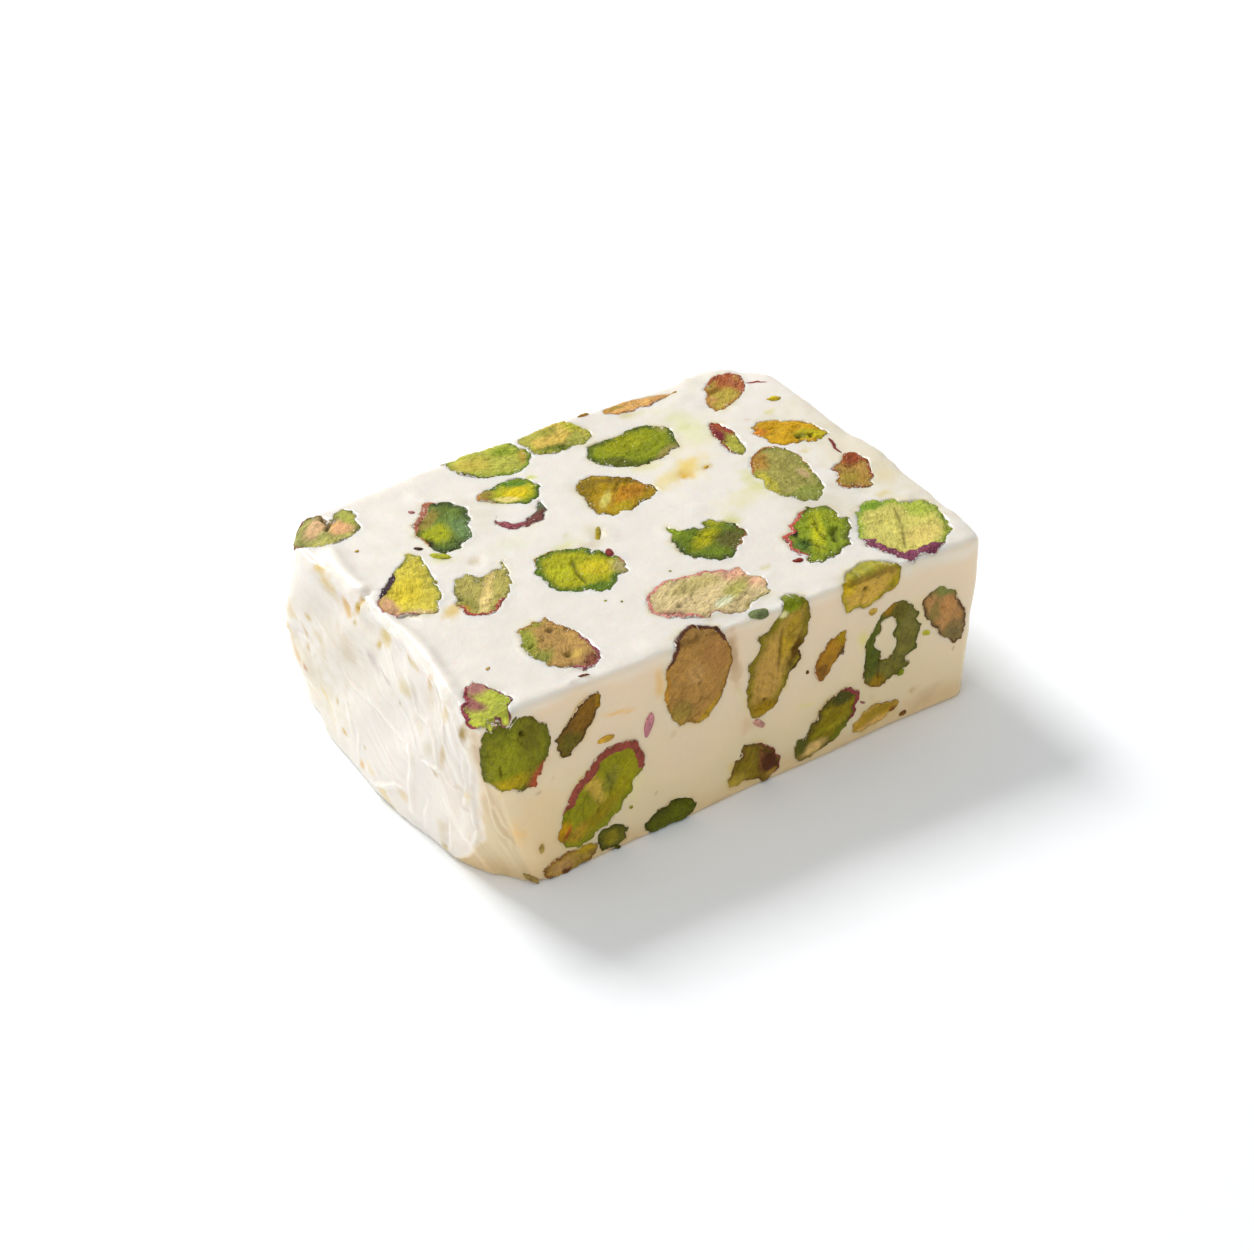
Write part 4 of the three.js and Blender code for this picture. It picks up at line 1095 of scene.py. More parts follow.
# %% Lines of the folds
# points of the line, height, width
FOLDS = [
    ([(-28.2, 15.1, 21.2), (-29.0, 12.0, 21.2), (-29.5, 9.3, 21.1), (-29.6, 6.9, 20.9), (-29.2, 5.0, 21.2)],
      0.7, 0.95),
    ([(-29.4, 4.4, 21.2), (-29.9, 2.6, 21.0), (-30.0, 0.2, 20.9), (-29.8, -2.0, 20.8), (-29.7, -4.2, 21.0),
      (-29.9, -6.9, 21.2), (-30.3, -9.4, 21.2), (-30.7, -11.8, 21.2), (-31.3, -14.3, 20.9),
      (-31.8, -16.6, 20.9)], 0.7, 0.95),
    ([(-28.8, 5.1, 21.2), (-29.9, 4.6, 20.8), (-30.4, 5.1, 19.5)], -0.6, 0.35),
    ([(-31.6, 13.5, 14.7), (-31.8, 10.9, 14.1), (-32.0, 7.9, 13.0)], 0.2, 0.22),
    ([(-31.5, 17.4, 10.0), (-31.6, 15.6, 10.7), (-32.0, 13.7, 11.0), (-32.2, 11.3, 10.7),
      (-32.1, 9.9, 10.3)], 0.26, 0.28),
    ([(-31.7, 7.2, 11.6), (-31.6, 5.7, 10.4), (-32.1, 2.7, 10.6), (-32.3, 0.3, 10.9), (-32.1, -1.4, 10.7),
      (-31.9, -3.1, 10.1), (-32.0, -4.9, 9.9), (-32.3, -6.8, 9.9)], 0.22, 0.25),
    ([(-32.3, -6.8, 9.9), (-32.7, -8.1, 9.3), (-32.7, -8.3, 7.7), (-32.7, -8.0, 6.3), (-32.7, -7.9, 4.9),
      (-32.6, -8.1, 3.7), (-32.6, -7.9, 1.6)], 0.34, 0.45),
    ([(-32.3, 5.7, 8.1), (-32.8, 4.0, 6.5), (-32.5, 3.7, 4.8)], 0.18, 0.3),
    ([(-32.5, 2.3, 6.1), (-32.3, 3.0, 2.2)], 0.15, 0.3),
    ([(-31.1, -4.6, 18.0), (-31.3, -6.6, 17.0), (-31.2, -7.8, 15.0), (-31.4, -8.7, 14.6),
      (-31.8, -10.4, 14.8), (-32.1, -11.7, 14.4), (-32.3, -12.6, 13.9), (-32.4, -13.2, 12.6),
      (-32.4, -13.6, 11.6), (-32.5, -14.7, 11.3), (-32.5, -15.2, 10.6), (-32.5, -16.2, 10.4),
      (-32.4, -17.4, 10.7)], 0.3, 0.26),
    ([(-31.6, -3.9, 13.7), (-31.5, -5.3, 13.0), (-31.6, -7.0, 12.7), (-32.1, -8.4, 11.8),
      (-32.5, -9.4, 10.9)], 0.22, 0.25),
    ([(-30.7, -8.5, 20.7), (-31.0, -10.3, 20.6), (-31.3, -11.9, 20.2), (-31.4, -12.7, 19.3),
      (-31.8, -13.4, 18.2), (-32.2, -14.7, 17.3), (-32.4, -14.8, 15.5), (-32.4, -15.5, 14.7),
      (-32.4, -16.1, 13.8)], 0.24, 0.25),
    ([(-31.4, -13.1, 19.8), (-31.8, -15.1, 20.2), (-32.2, -16.5, 19.7), (-32.5, -17.7, 19.0),
      (-32.5, -18.2, 18.3), (-32.4, -18.5, 17.2), (-32.3, -18.5, 15.5), (-32.2, -18.5, 14.0),
      (-32.2, -18.7, 12.6), (-32.1, -18.9, 11.6), (-32.0, -19.0, 10.4), (-31.8, -19.1, 8.8),
      (-31.6, -19.1, 7.4), (-31.4, -19.1, 6.0), (-31.4, -18.6, 4.4), (-31.4, -17.8, 2.8)], 0.55, 0.36),
    ([(-32.5, -18.4, 18.4), (-32.3, -18.8, 17.4), (-32.2, -19.2, 16.0), (-32.1, -19.3, 14.5),
      (-32.0, -19.3, 12.7), (-32.1, -18.9, 11.6), (-32.2, -18.2, 10.3), (-32.2, -17.6, 8.5)], 0.4, 0.3),
    ([(-31.9, -19.7, 20.4), (-31.5, -20.0, 18.0), (-31.2, -20.2, 15.0)], -0.7, 0.7),
    ([(-32.2, -18.1, 8.6), (-32.0, -17.9, 6.5), (-31.8, -17.4, 4.0)], 0.35, 0.9),
    ([(-32.4, -14.6, 5.5), (-32.2, -14.2, 3.3), (-32.1, -13.9, 1.3)], -0.35, 0.6),
    ([(-32.4, -15.2, 5.5), (-32.2, -15.0, 3.3), (-32.1, -14.7, 1.3)], 0.22, 0.25),
    ([(-32.5, -11.4, 5.7), (-32.4, -10.5, 3.1), (-32.3, -9.8, 0.6)], 0.18, 0.3),
    ([(-32.8, -0.6, 1.4), (-32.8, -1.0, 1.2), (-32.8, -3.0, 2.3), (-32.9, -5.3, 3.9), (-32.8, -6.2, 4.2),
      (-32.7, -7.3, 4.5)], 0.42, 0.28),
    ([(-32.5, -10.0, 9.9), (-32.4, -11.0, 10.3), (-32.4, -12.0, 10.6), (-32.4, -13.2, 10.9),
      (-32.4, -14.0, 11.3)], 0.36, 0.24),
    ([(-32.1, -13.8, 0.5), (-32.1, -14.6, 1.0), (-32.1, -15.0, 1.9)], 0.25, 0.22),
    ([(-31.3, -20.2, 13.3), (-31.1, -20.6, 12.6), (-30.9, -20.8, 11.4), (-30.7, -20.9, 10.6),
      (-30.6, -21.0, 9.5), (-30.3, -21.1, 8.2), (-30.1, -21.4, 7.2), (-29.7, -21.7, 6.3),
      (-29.2, -22.2, 5.7), (-29.0, -22.2, 4.6)], 0.34, 0.24),
    ([(-30.7, -20.9, 10.6), (-30.4, -21.3, 10.1), (-30.1, -21.6, 9.0), (-29.8, -21.9, 7.9),
      (-29.4, -22.3, 7.1), (-29.2, -22.3, 6.1)], 0.22, 0.22),
    ([(-32.4, 18.4, 13.4), (-32.2, 18.7, 11.4), (-31.8, 19.2, 9.4)], 0.75, 1.2),
    ([(-30.4, 12.0, 19.6), (-30.8, 8.0, 19.0), (-30.9, 3.0, 18.9), (-30.9, -2.0, 18.9)], -0.3, 0.8),
    ([(-20.8, -20.1, 21.2), (-18.8, -19.4, 21.2), (-17.6, -20.3, 21.2)], 0.3, 0.4),
    ([(-20.0, -21.8, 21.0), (-16.0, -22.0, 21.0), (-12.0, -22.0, 21.0), (-6.0, -22.1, 21.0)], 0.16, 0.5),
    ([(17.6, -13.5, 21.2), (18.7, -14.5, 21.2)], 0.3, 0.35),
]
# x, y, radius, height: small swellings and hollows of the top
BUMPS = [
    (-16.0, 18.2, 0.7, 0.28), (-15.4, 17.0, 0.5, 0.22), (-16.6, 2.7, 0.5, 0.25), (-17.4, 3.4, 0.6, -0.45),
    (-2.9, -0.4, 0.7, 0.35), (-2.4, 0.8, 0.6, 0.3), (-3.9, -0.1, 0.6, -0.3), (19.5, 18.5, 0.8, 0.25),
    (20.5, 16.3, 0.8, 0.25), (22.7, 21.5, 1.0, 0.3), (20.6, 19.2, 0.7, 0.2), (23.8, 13.0, 0.8, 0.2),
    (12.7, 5.8, 0.6, 0.2), (11.1, 4.9, 0.8, -0.3), (-26.4, -14.1, 0.5, 0.2), (28.5, -12.3, 0.8, 0.25),
    (8.0, -1.3, 0.8, 0.2), (7.2, -16.2, 0.7, 0.3), (-4.5, 1.4, 0.5, 0.2),
]

print("folds", len(FOLDS), "swellings and hollows", len(BUMPS))

# %% [markdown]
# All the relief is added up as one height for each point and applied at once. Under a nut the height drops
# by a whole millimetre. What stands out fades away towards the board, where the bar lies flat.

# %% Relief of the nougat
UNDER_A_NUT = 1.0     # how far the skin is pushed in there
DEEPEST = -0.9
torn = fade(0.42, 0.72, -out[:, 0])
flow = points[:, 2] - 0.25 * points[:, 1] + 13.0 * np.exp(-(points[:, 1] + 20.0) / 5.0)
flow += 1.2 * noise(points, 5.0, 203)
down_flow = points[:, 1] * 0.12 - points[:, 2] * 0.12
fibre_place = np.column_stack([flow, down_flow, np.zeros(len(points))])
fibre = noise(fibre_place, 3.2, 200)
thread = np.exp(-(noise(fibre_place, 1.5, 204) / 0.10) ** 2) * fade(-0.5, 0.4, noise(points, 3.5, 205))
relief = swell(points) + 0.02 * noise(points, 1.8, 212)
relief += torn * (0.30 * fibre + 0.12 * noise(points, 2.6, 206, 2) + 0.05 * thread)
wobble = noise(points, 1.3, 214, 2)
crest = torn * thread * 0.35
for line, height, width in FOLDS:
    distance, part = distance_to_line(points, line)
    ends = fade(-0.02, 0.12, part) * fade(1.02, 0.88, part)
    near = (distance + 0.12 * wobble) / width
    relief += height * ends * (1 + 0.4 * wobble) * (np.exp(-near ** 2) - 0.3 * np.exp(-(near / 2.4) ** 2))
    if height > 0:
        crest = np.maximum(crest, ends * np.exp(-(near * 1.2) ** 2))
top_places = on_face(points, "top")
upwards = fade(0.7, 0.95, out[:, 2])
for x, y, radius, height in BUMPS:
    near = np.hypot(*(top_places - (x, y)).T) / radius
    relief += upwards * height * np.exp(-(near + 0.3 * wobble) ** 2)
lip = 0.04 + 0.13 * noise(points, 2.6, 215, 2)
relief += lip * np.exp(-(gap / 0.5) ** 2) - 0.05 * np.exp(-(gap / 1.8) ** 2)
highest = 0.9 - 0.32 * fade(0.3, 0.9, out[:, 2])
relief = np.clip(relief, DEEPEST, highest)
relief -= UNDER_A_NUT * fade(0.0, -0.4, gap)
flat_on_board = fade(0.0, 0.8, points[:, 2])
relief = np.where(relief > 0, relief * flat_on_board, relief)
points += out * relief[:, None]
points[:, 2] = np.maximum(points[:, 2], 0.0)
move_points(bar_mesh, points)
print("nougat relief from", relief.min().round(2), "to", relief.max().round(2))

# %% [markdown]
# ## Colour of the nougat
# Fresh from the knife the top is a warm white, and so is the torn end. The cut sides are painted more beige,
# most of all low down: painted shade, the warm tone of sides turned from the main light. Oil from the nuts
# stains the nougat yellow and green here and there. Round each nut the nougat is painted darker and yellower,
# as painted shade, and a few marks in the list below are painted shade, and one is painted light.

# %% Stains, painted shade and painted light
# face, x, y, length, width, turn, colour, strength
STAINS_AND_SHADING = [
    ("top", 29.0, -2.0, 4.0, 13.0, 0, "ebe0c4", 0.8), ("top", 20.0, -8.0, 4.0, 6.0, 0, "e5dcc8", 0.8),
    ("top", -14.5, 12.0, 5.0, 4.0, 0, "ebe2ce", 0.7), ("top", 15.0, 12.0, 6.0, 5.0, 0, "f2e6c8", 0.7),
    ("torn", 13.0, 5.5, 7.0, 5.0, 0, "e6dabf", 0.9), ("torn", 6.0, 14.0, 9.0, 5.0, 0, "ece0cd", 0.6),
    # the first mark on the next line, in fff2e2, is painted light on the lower folds of the torn end
    ("torn", -16.5, 7.0, 3.6, 6.0, 0, "fff2e2", 0.7), ("torn", -12.0, 17.0, 3.0, 3.0, 0, "eadccb", 0.5),
    ("top", 12.4, 6.2, 3.6, 2.1, 20, "f2e2a0", 0.8), ("top", 12.7, 6.6, 1.5, 1.0, 20, "f0cc50", 0.8),
    ("top", 11.1, 4.9, 0.9, 0.8, 0, "e8b818", 1.0), ("top", 13.9, 5.0, 0.5, 0.35, 0, "d0a430", 0.8),
    ("top", 17.2, 13.4, 2.2, 3.4, 0, "e9ecb4", 0.7), ("top", 16.9, 13.7, 0.5, 0.5, 0, "c8cc40", 0.6),
    ("top", 19.1, 13.6, 0.4, 0.4, 0, "ccc448", 0.6), ("top", 13.0, 19.0, 1.3, 0.8, 0, "e8d890", 0.6),
    ("top", 26.6, 10.7, 0.5, 0.5, 0, "dcd450", 0.8), ("top", 23.6, 10.7, 0.5, 0.4, 0, "dcb49c", 0.7),
    ("top", 14.0, -2.4, 4.6, 1.7, 15, "f0e8b0", 0.6), ("top", 10.0, -5.2, 1.3, 0.8, 0, "e0e090", 0.7),
    ("top", 16.6, 0.2, 0.9, 2.6, -10, "d8d870", 0.6), ("top", 25.2, 1.5, 0.4, 0.4, 0, "dcc860", 0.7),
    ("top", 28.9, -7.0, 1.6, 1.6, 0, "f0e0a8", 0.5), ("top", 26.7, -10.6, 0.9, 0.5, 0, "e0cc50", 0.7),
    ("top", -3.4, 14.2, 0.7, 0.5, 30, "d8d848", 0.8), ("top", -6.6, 1.9, 0.7, 0.3, 30, "d4d070", 0.7),
    ("top", -8.6, 0.4, 3.0, 0.6, 5, "e4e08c", 0.7), ("top", 8.2, 5.0, 1.8, 1.2, 20, "f0dc90", 0.7),
    ("top", 8.2, 9.2, 3.4, 1.2, -20, "f0e8b0", 0.6), ("top", -24.2, -2.9, 1.4, 0.8, 30, "e8c458", 0.8),
    ("top", -17.4, 3.4, 0.8, 0.6, 40, "c8ac68", 0.7), ("top", -3.7, 0.8, 1.2, 2.2, 0, "e0d4ac", 0.6),
    ("top", -12.5, 4.0, 3.0, 1.5, 0, "eaeccc", 0.5), ("top", 7.8, -14.6, 0.8, 0.3, 20, "dccc70", 0.7),
    ("top", 23.0, 20.0, 3.5, 1.0, 20, "ece8d4", 0.5), ("top", -20.0, 5.8, 1.6, 0.7, -40, "d8d86c", 0.6),
    ("top", -5.5, -0.8, 1.8, 0.8, 0, "d8c8a0", 0.5), ("top", 18.6, 6.0, 0.8, 3.6, 0, "eee8c4", 0.5),
    ("front", -15.8, 16.0, 2.0, 0.22, -8, "d8a848", 0.7), ("front", -26.8, 4.3, 0.5, 0.8, 0, "b8985c", 0.8),
    ("front", -15.0, 6.6, 1.1, 1.8, -20, "d4c88c", 0.6), ("front", -10.8, 17.6, 0.6, 1.8, 0, "d8a850", 0.7),
    ("front", -0.2, 8.2, 0.9, 1.0, 0, "c09c74", 0.5), ("front", 7.5, 7.8, 1.2, 0.2, -15, "c8bc60", 0.6),
    ("front", -9.6, 11.0, 0.4, 0.4, 0, "b89c68", 0.6), ("front", 15.2, 13.0, 0.8, 1.1, 0, "c8bc50", 0.7),
    ("front", 22.2, 3.8, 0.5, 0.4, 0, "b48c54", 0.7), ("front", 24.4, 2.2, 2.4, 1.2, 0, "ac8858", 0.4),
    # the large d6b888 mark on the next line is painted shade: more of the cut side's shaded beige at the near
    # corner
    ("front", -25.5, 4.5, 4.5, 6.0, 0, "d6b888", 0.6), ("front", -1.8, 3.6, 1.2, 1.0, 0, "ccac50", 0.7),
    ("front", -1.0, 13.0, 0.35, 2.6, 20, "c4b478", 0.5),
    ("front", -26.4, 10.6, 0.25, 0.25, 0, "8c7440", 0.8),
    ("front", -24.6, 11.6, 0.2, 0.2, 0, "9c8450", 0.8), ("front", 16.4, 5.0, 0.6, 0.25, 20, "9c6c54", 0.7),
    ("front", 27.7, 7.4, 0.25, 0.25, 0, "a07858", 0.7), ("front", -12.3, 5.0, 0.2, 0.2, 0, "8c8430", 0.7),
    ("torn", 12.2, 20.9, 0.9, 0.4, 30, "e6cf84", 0.9), ("torn", 10.9, 20.0, 1.6, 0.8, 35, "ecd290", 1.0),
    ("torn", 7.0, 18.9, 1.5, 0.45, 25, "e6c286", 1.0), ("torn", 4.9, 19.8, 1.0, 0.5, -60, "d8b450", 1.0),
    ("torn", 4.4, 21.0, 0.5, 0.3, 0, "dcc07c", 0.9), ("torn", 4.7, 18.2, 0.4, 0.3, 0, "d0bc78", 0.9),
    ("torn", 3.0, 20.5, 0.25, 0.25, 0, "d0b880", 0.9), ("torn", 13.9, 13.8, 0.6, 0.35, 20, "dcc078", 0.9),
    ("torn", 14.9, 11.5, 0.8, 0.3, 30, "d8bc84", 0.9), ("torn", 13.8, 10.0, 0.6, 0.35, 30, "d4bc80", 0.9),
    ("torn", 17.4, 12.8, 0.9, 1.4, 0, "eedcb4", 0.9), ("torn", 18.3, 9.3, 0.7, 1.4, 0, "e6cf9c", 0.9),
    ("torn", 16.1, 7.5, 1.2, 0.7, 30, "e4c48c", 1.0), ("torn", 14.1, 7.3, 0.5, 0.4, 30, "cc9c74", 1.0),
    ("torn", 11.4, 12.4, 1.6, 0.6, 20, "ddcaa0", 0.8), ("torn", -0.6, 19.2, 1.0, 0.9, 0, "e6d08c", 1.0),
    ("torn", 0.1, 17.8, 0.5, 0.5, 0, "d8bc70", 1.0), ("torn", 1.8, 15.5, 0.5, 0.2, 20, "a88484", 1.0),
    ("torn", 1.2, 15.4, 2.0, 0.9, 14, "d8cac0", 0.9), ("torn", -2.0, 15.2, 1.6, 0.35, 14, "d0c0b4", 0.9),
    ("torn", 10.6, 5.6, 1.0, 0.6, 35, "e6d090", 1.0), ("torn", 9.2, 4.7, 1.0, 0.5, 35, "e4cc80", 1.0),
    ("torn", 8.3, 3.8, 0.9, 0.4, 40, "e8c878", 1.0), ("torn", 14.7, 3.5, 0.8, 0.8, 0, "eac078", 1.0),
    ("torn", 7.1, 6.9, 0.5, 0.35, 30, "d4bc84", 0.9), ("torn", 5.5, 4.0, 0.7, 0.45, 40, "dcb060", 1.0),
    ("torn", 1.1, 4.6, 0.35, 0.3, 0, "d0bc80", 0.9), ("torn", 2.0, 1.8, 0.6, 0.6, 30, "ecc078", 1.0),
    ("torn", -0.1, 2.6, 1.2, 0.6, 20, "f0e0b8", 0.8), ("torn", -5.0, 13.8, 0.35, 0.3, 0, "c0b480", 0.9),
    ("torn", -5.8, 19.4, 0.7, 0.4, 20, "d0b468", 0.9), ("torn", -7.6, 19.7, 0.9, 0.6, 0, "e4d09c", 0.9),
    ("torn", -5.9, 16.0, 1.2, 0.8, 14, "e8dab4", 0.8), ("torn", -10.9, 19.6, 0.5, 1.0, 20, "e2c090", 1.0),
    ("torn", -11.1, 17.6, 0.9, 1.6, 0, "e8d6bc", 0.8), ("torn", -15.2, 19.0, 0.7, 1.0, 0, "e2cda0", 1.0),
    ("torn", -19.1, 19.0, 0.6, 0.9, 0, "b89c50", 1.0), ("torn", -14.5, 13.2, 0.5, 1.8, 0, "dfc8a0", 0.9),
    ("torn", -13.1, 10.4, 0.7, 0.5, 0, "dcc49c", 0.9), ("torn", -3.2, 1.0, 1.6, 0.7, 20, "f2dcae", 1.0),
    ("torn", -6.9, 3.2, 1.0, 0.7, 0, "eedab0", 0.9), ("torn", -19.1, 10.0, 0.35, 1.5, 0, "ead098", 1.0),
    ("torn", -14.1, 0.9, 0.7, 0.5, 0, "d2bc84", 1.0), ("torn", -13.6, 2.9, 0.8, 1.6, 0, "e6d8bc", 0.9),
    ("torn", -11.9, 12.3, 1.0, 1.2, 0, "e6dac4", 0.8), ("torn", 17.3, 19.5, 0.4, 1.2, 0, "f4e4c8", 0.8),
    ("torn", -9.3, 13.7, 1.4, 0.6, 20, "e8dcc8", 0.7), ("torn", 6.7, 15.1, 2.0, 0.8, 20, "e8d6bc", 0.8),
    ("torn", 6.1, 13.4, 1.4, 0.8, 20, "e0d0b4", 0.8), ("torn", -17.8, 10.8, 0.8, 0.5, 0, "e6d8bc", 0.8),
    # the two a48f6c marks on the next line are painted shadow in the hollow between the torn end's fold and
    # the corner nut
    ("torn", -20.6, 17.6, 0.7, 2.6, 0, "a48f6c", 0.9), ("front", -32.2, 17.6, 0.6, 2.6, 0, "a48f6c", 0.9),
    # the two marks on the next line are painted shade between two nuts on the cut side
    ("front", -1.5, 18.3, 0.9, 2.6, 0, "a8845a", 0.8), ("front", -1.2, 14.6, 0.9, 1.8, 0, "b4966c", 0.7),
    ("front", -29.9, 6.0, 1.2, 1.8, 0, "cfa868", 0.9), ("front", -31.0, 11.5, 0.4, 0.3, 0, "c4ac6c", 1.0),
]
AXES["torn"] = (Y, Z)
print("stains", len(STAINS_AND_SHADING))

# %% [markdown]
# The colours are given as they should be seen. A white surface looks brighter on the top than on the side,
# so each colour is divided by the light of its face before it becomes paint.

# %% Mix the nougat's colours
TOP_CREAM = paint("f5eee3")
TORN_CREAM = paint("f4ece1")
# painted shade: the warm beige of the cut sides stands for the tone they take on in shade
SHADED_SIDE_BEIGE = paint("dbc4a4")
SHADED_SIDE_DEEP = paint("d0bc96")
# painted light: the cut side is painted whiter just under the top edge, where light from above reaches over
# the rounding
LIT_UNDER_EDGE = paint("e4d6c0")   # the soft white just under the top edge
SIDE_FOOT = paint("c6a878")    # and the tan near the board
KEY_WAY = np.array([-0.104, 0.694, 0.708])   # from the bar towards the main light
# where the white of the torn end gives way to the beige of the cut side, at some heights
CORNER_Z = (0, 1.2, 2.5, 4.8, 6.4, 8.6, 12, 14.2, 15.6)
CORNER_Y = (-14.5, -16.5, -17.7, -19.0, -19.4, -19.6, -19.8, -19.5, -19.2)
NUT_SHADE_TINT = np.array([0.93, 0.86, 0.55])     # round a nut the nougat is painted this much darker and yellower: painted shade
BRIGHTEST = 0.93


def nougat_colour(points, out, gap):
    """The colour of the nougat at each place, with the stains."""
    wander = noise(points, 1.1, 220, 4)
    torn = fade(0.42, 0.72, -out[:, 0])
    top = fade(0.45, 0.85, out[:, 2])
    front = fade(0.72, 0.92, -out[:, 1] + 0.08 * wander)
    corner_line = np.interp(points[:, 2], CORNER_Z, CORNER_Y)
    right_of_corner = fade(0.5, -0.7, points[:, 1] - corner_line + 0.3 * wander)
    right_of_corner = right_of_corner * fade(20.5, 19.0, points[:, 2])
    torn = torn * (1 - right_of_corner * (out[:, 0] < 0))
    cut_side = np.clip(1 - top - torn, 0, 1)
    # painted shade: the beige is weaker on the back and the far end than on the front, which faces away from
    # the main light
    cut_side = cut_side * np.where(out[:, 1] > -0.5, 0.55 + 0.45 * right_of_corner, 1.0)
    low_down = fade(17.0, 3.0, points[:, 2] + 6 * noise(points, 7.0, 221))
    lit = SIDE_LIGHT + (TOP_LIGHT - SIDE_LIGHT) * np.clip(out @ KEY_WAY / KEY_WAY[2], 0, 1)
    colour = TOP_CREAM / lit[:, None]
    colour = blend(colour, TORN_CREAM / END_LIGHT, torn)
    # painted light: the whiter strip along the top of the cut sides
    lit_under_edge = fade(18.9, 20.7, points[:, 2] + 1.2 * noise(points, 4.5, 222, 2))
    side = blend(blend(SHADED_SIDE_BEIGE, SHADED_SIDE_DEEP, low_down), LIT_UNDER_EDGE, lit_under_edge)
    side = blend(side, SIDE_FOOT, 0.7 * fade(3.4, 0.4, points[:, 2] + noise(points, 5.0, 225)))
    light = lit + 0.18 * np.clip(-out[:, 0], 0, 1)
    colour = blend(colour, side / light[:, None], cut_side)
    faces = {"top": (top, TOP_LIGHT), "torn": (torn, END_LIGHT), "front": (front, SIDE_LIGHT)}
    for face, x, y, length, width, angle, code, strength in STAINS_AND_SHADING:
        seen, light = faces[face]
        far = oval(on_face(points, face), x, y, length, width, angle)
        share = fade(1.5, 0.2, far + 0.8 * wander) * strength * seen
        colour = blend(colour, paint(code) / light, share)
    # painted shade: darker, yellower nougat next to each nut, for the light the nut takes up there
    nut_shade = np.exp(-(np.maximum(gap, 0) / 0.5) ** 2) * fade(0.0, 0.6, noise(points, 3.0, 224, 2))
    colour = blend(colour, colour * NUT_SHADE_TINT, 0.7 * nut_shade)
    # a colour too bright for paint is dimmed as a whole, or its hue would drift
    colour /= np.maximum(colour.max(axis=1) / BRIGHTEST, 1)[:, None]
    return colour * (0.99 + 0.01 * wander)[:, None]


cream = nougat_colour(points, out, gap)
nut_cream = nougat_colour(nuts, nut_out, np.full(len(nuts), 0.3))
print("nougat colour from", cream.min(0).round(2), "to", cream.max(0).round(2))

# %% [markdown]
# ## The visible nougat and nuts
# One object is made for the block and one for each tone of nut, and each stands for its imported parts. The
# numbers worked out above ride along as attributes, which a material reads point by point.

# %% Make the objects
def mesh_of(name, points, quads):
    """A mesh from its points and from faces that all have as many corners."""
    mesh = bpy.data.meshes.new(name)
    mesh.vertices.add(len(points))
    mesh.loops.add(quads.size)
    mesh.polygons.add(len(quads))
    mesh.loops.foreach_set("vertex_index", quads.ravel())
    mesh.polygons.foreach_set("loop_start", np.arange(len(quads), dtype=np.int32) * quads.shape[1])
    move_points(mesh, points)
    mesh.update(calc_edges=True)
    return mesh


def place_piece(name, mesh, nodes=()):
    """Shows a mesh as a piece of the bar."""
    mesh.shade_smooth()
    piece = bpy.data.objects.new(name, mesh)
    bpy.context.scene.collection.objects.link(piece)
    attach(piece, "root")
    if nodes:
        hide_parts(*nodes)
    return piece


BURIED = 0.6          # walls deeper than this
FAR_FROM_RIM = 3.0    # count as this much farther from the rim, so no smear is painted on them

give(bar_mesh, "cream", "FLOAT_COLOR", cream)
give(bar_mesh, "crest", "FLOAT", crest)
give(bar_mesh, "flow", "FLOAT_VECTOR", np.column_stack([flow, down_flow, np.zeros(len(flow))]))
give(bar_mesh, "torn", "FLOAT", torn)
nougat = place_piece("nougat_block", bar_mesh, ["nougat"])
nut_pieces = []
for tone in sorted(set(slot_of[name] for name in nut_names)):
    members = [name for name in nut_names if slot_of[name] == tone]
    rows = np.concatenate([np.arange(nut_range[name].start, nut_range[name].stop) for name in members])
    renumber = np.zeros(len(nuts), dtype=np.int32)
    renumber[rows] = np.arange(len(rows), dtype=np.int32)
    quads = np.vstack([nut_quads[nut_names.index(name)] for name in members])
    mesh = mesh_of(tone, nuts[rows], renumber[quads])
    give(mesh, "tint", "FLOAT_COLOR", tint[rows])
    give(mesh, "husk", "FLOAT_COLOR", husk_tint[rows])
    give(mesh, "rim_gap", "FLOAT", husk_gap[rows])
    give(mesh, "rim", "FLOAT", rim[rows] + FAR_FROM_RIM * (nut_depth[rows] > BURIED))
    give(mesh, "cream", "FLOAT_COLOR", nut_cream[rows])
    give(mesh, "glint_chance", "FLOAT", glint_chance[rows])
    give(mesh, "grain", "FLOAT_VECTOR", grain[rows])
    nut_pieces.append(place_piece(tone.replace("pistachio", "pistachios"), mesh, members))
    print(tone, "nuts", len(members), "triangles", 2 * len(quads))

# %% [markdown]
# ## Crumbs and shreds
# The knife drags small crumbs of nut and shreds of their purple skin over the nougat and presses them in. A
# crumb is a ball, flattened and dented by noise, set half into the surface. A shred is a thin tube that
# follows the surface and tapers at both ends. They are gathered by kind into three pieces.

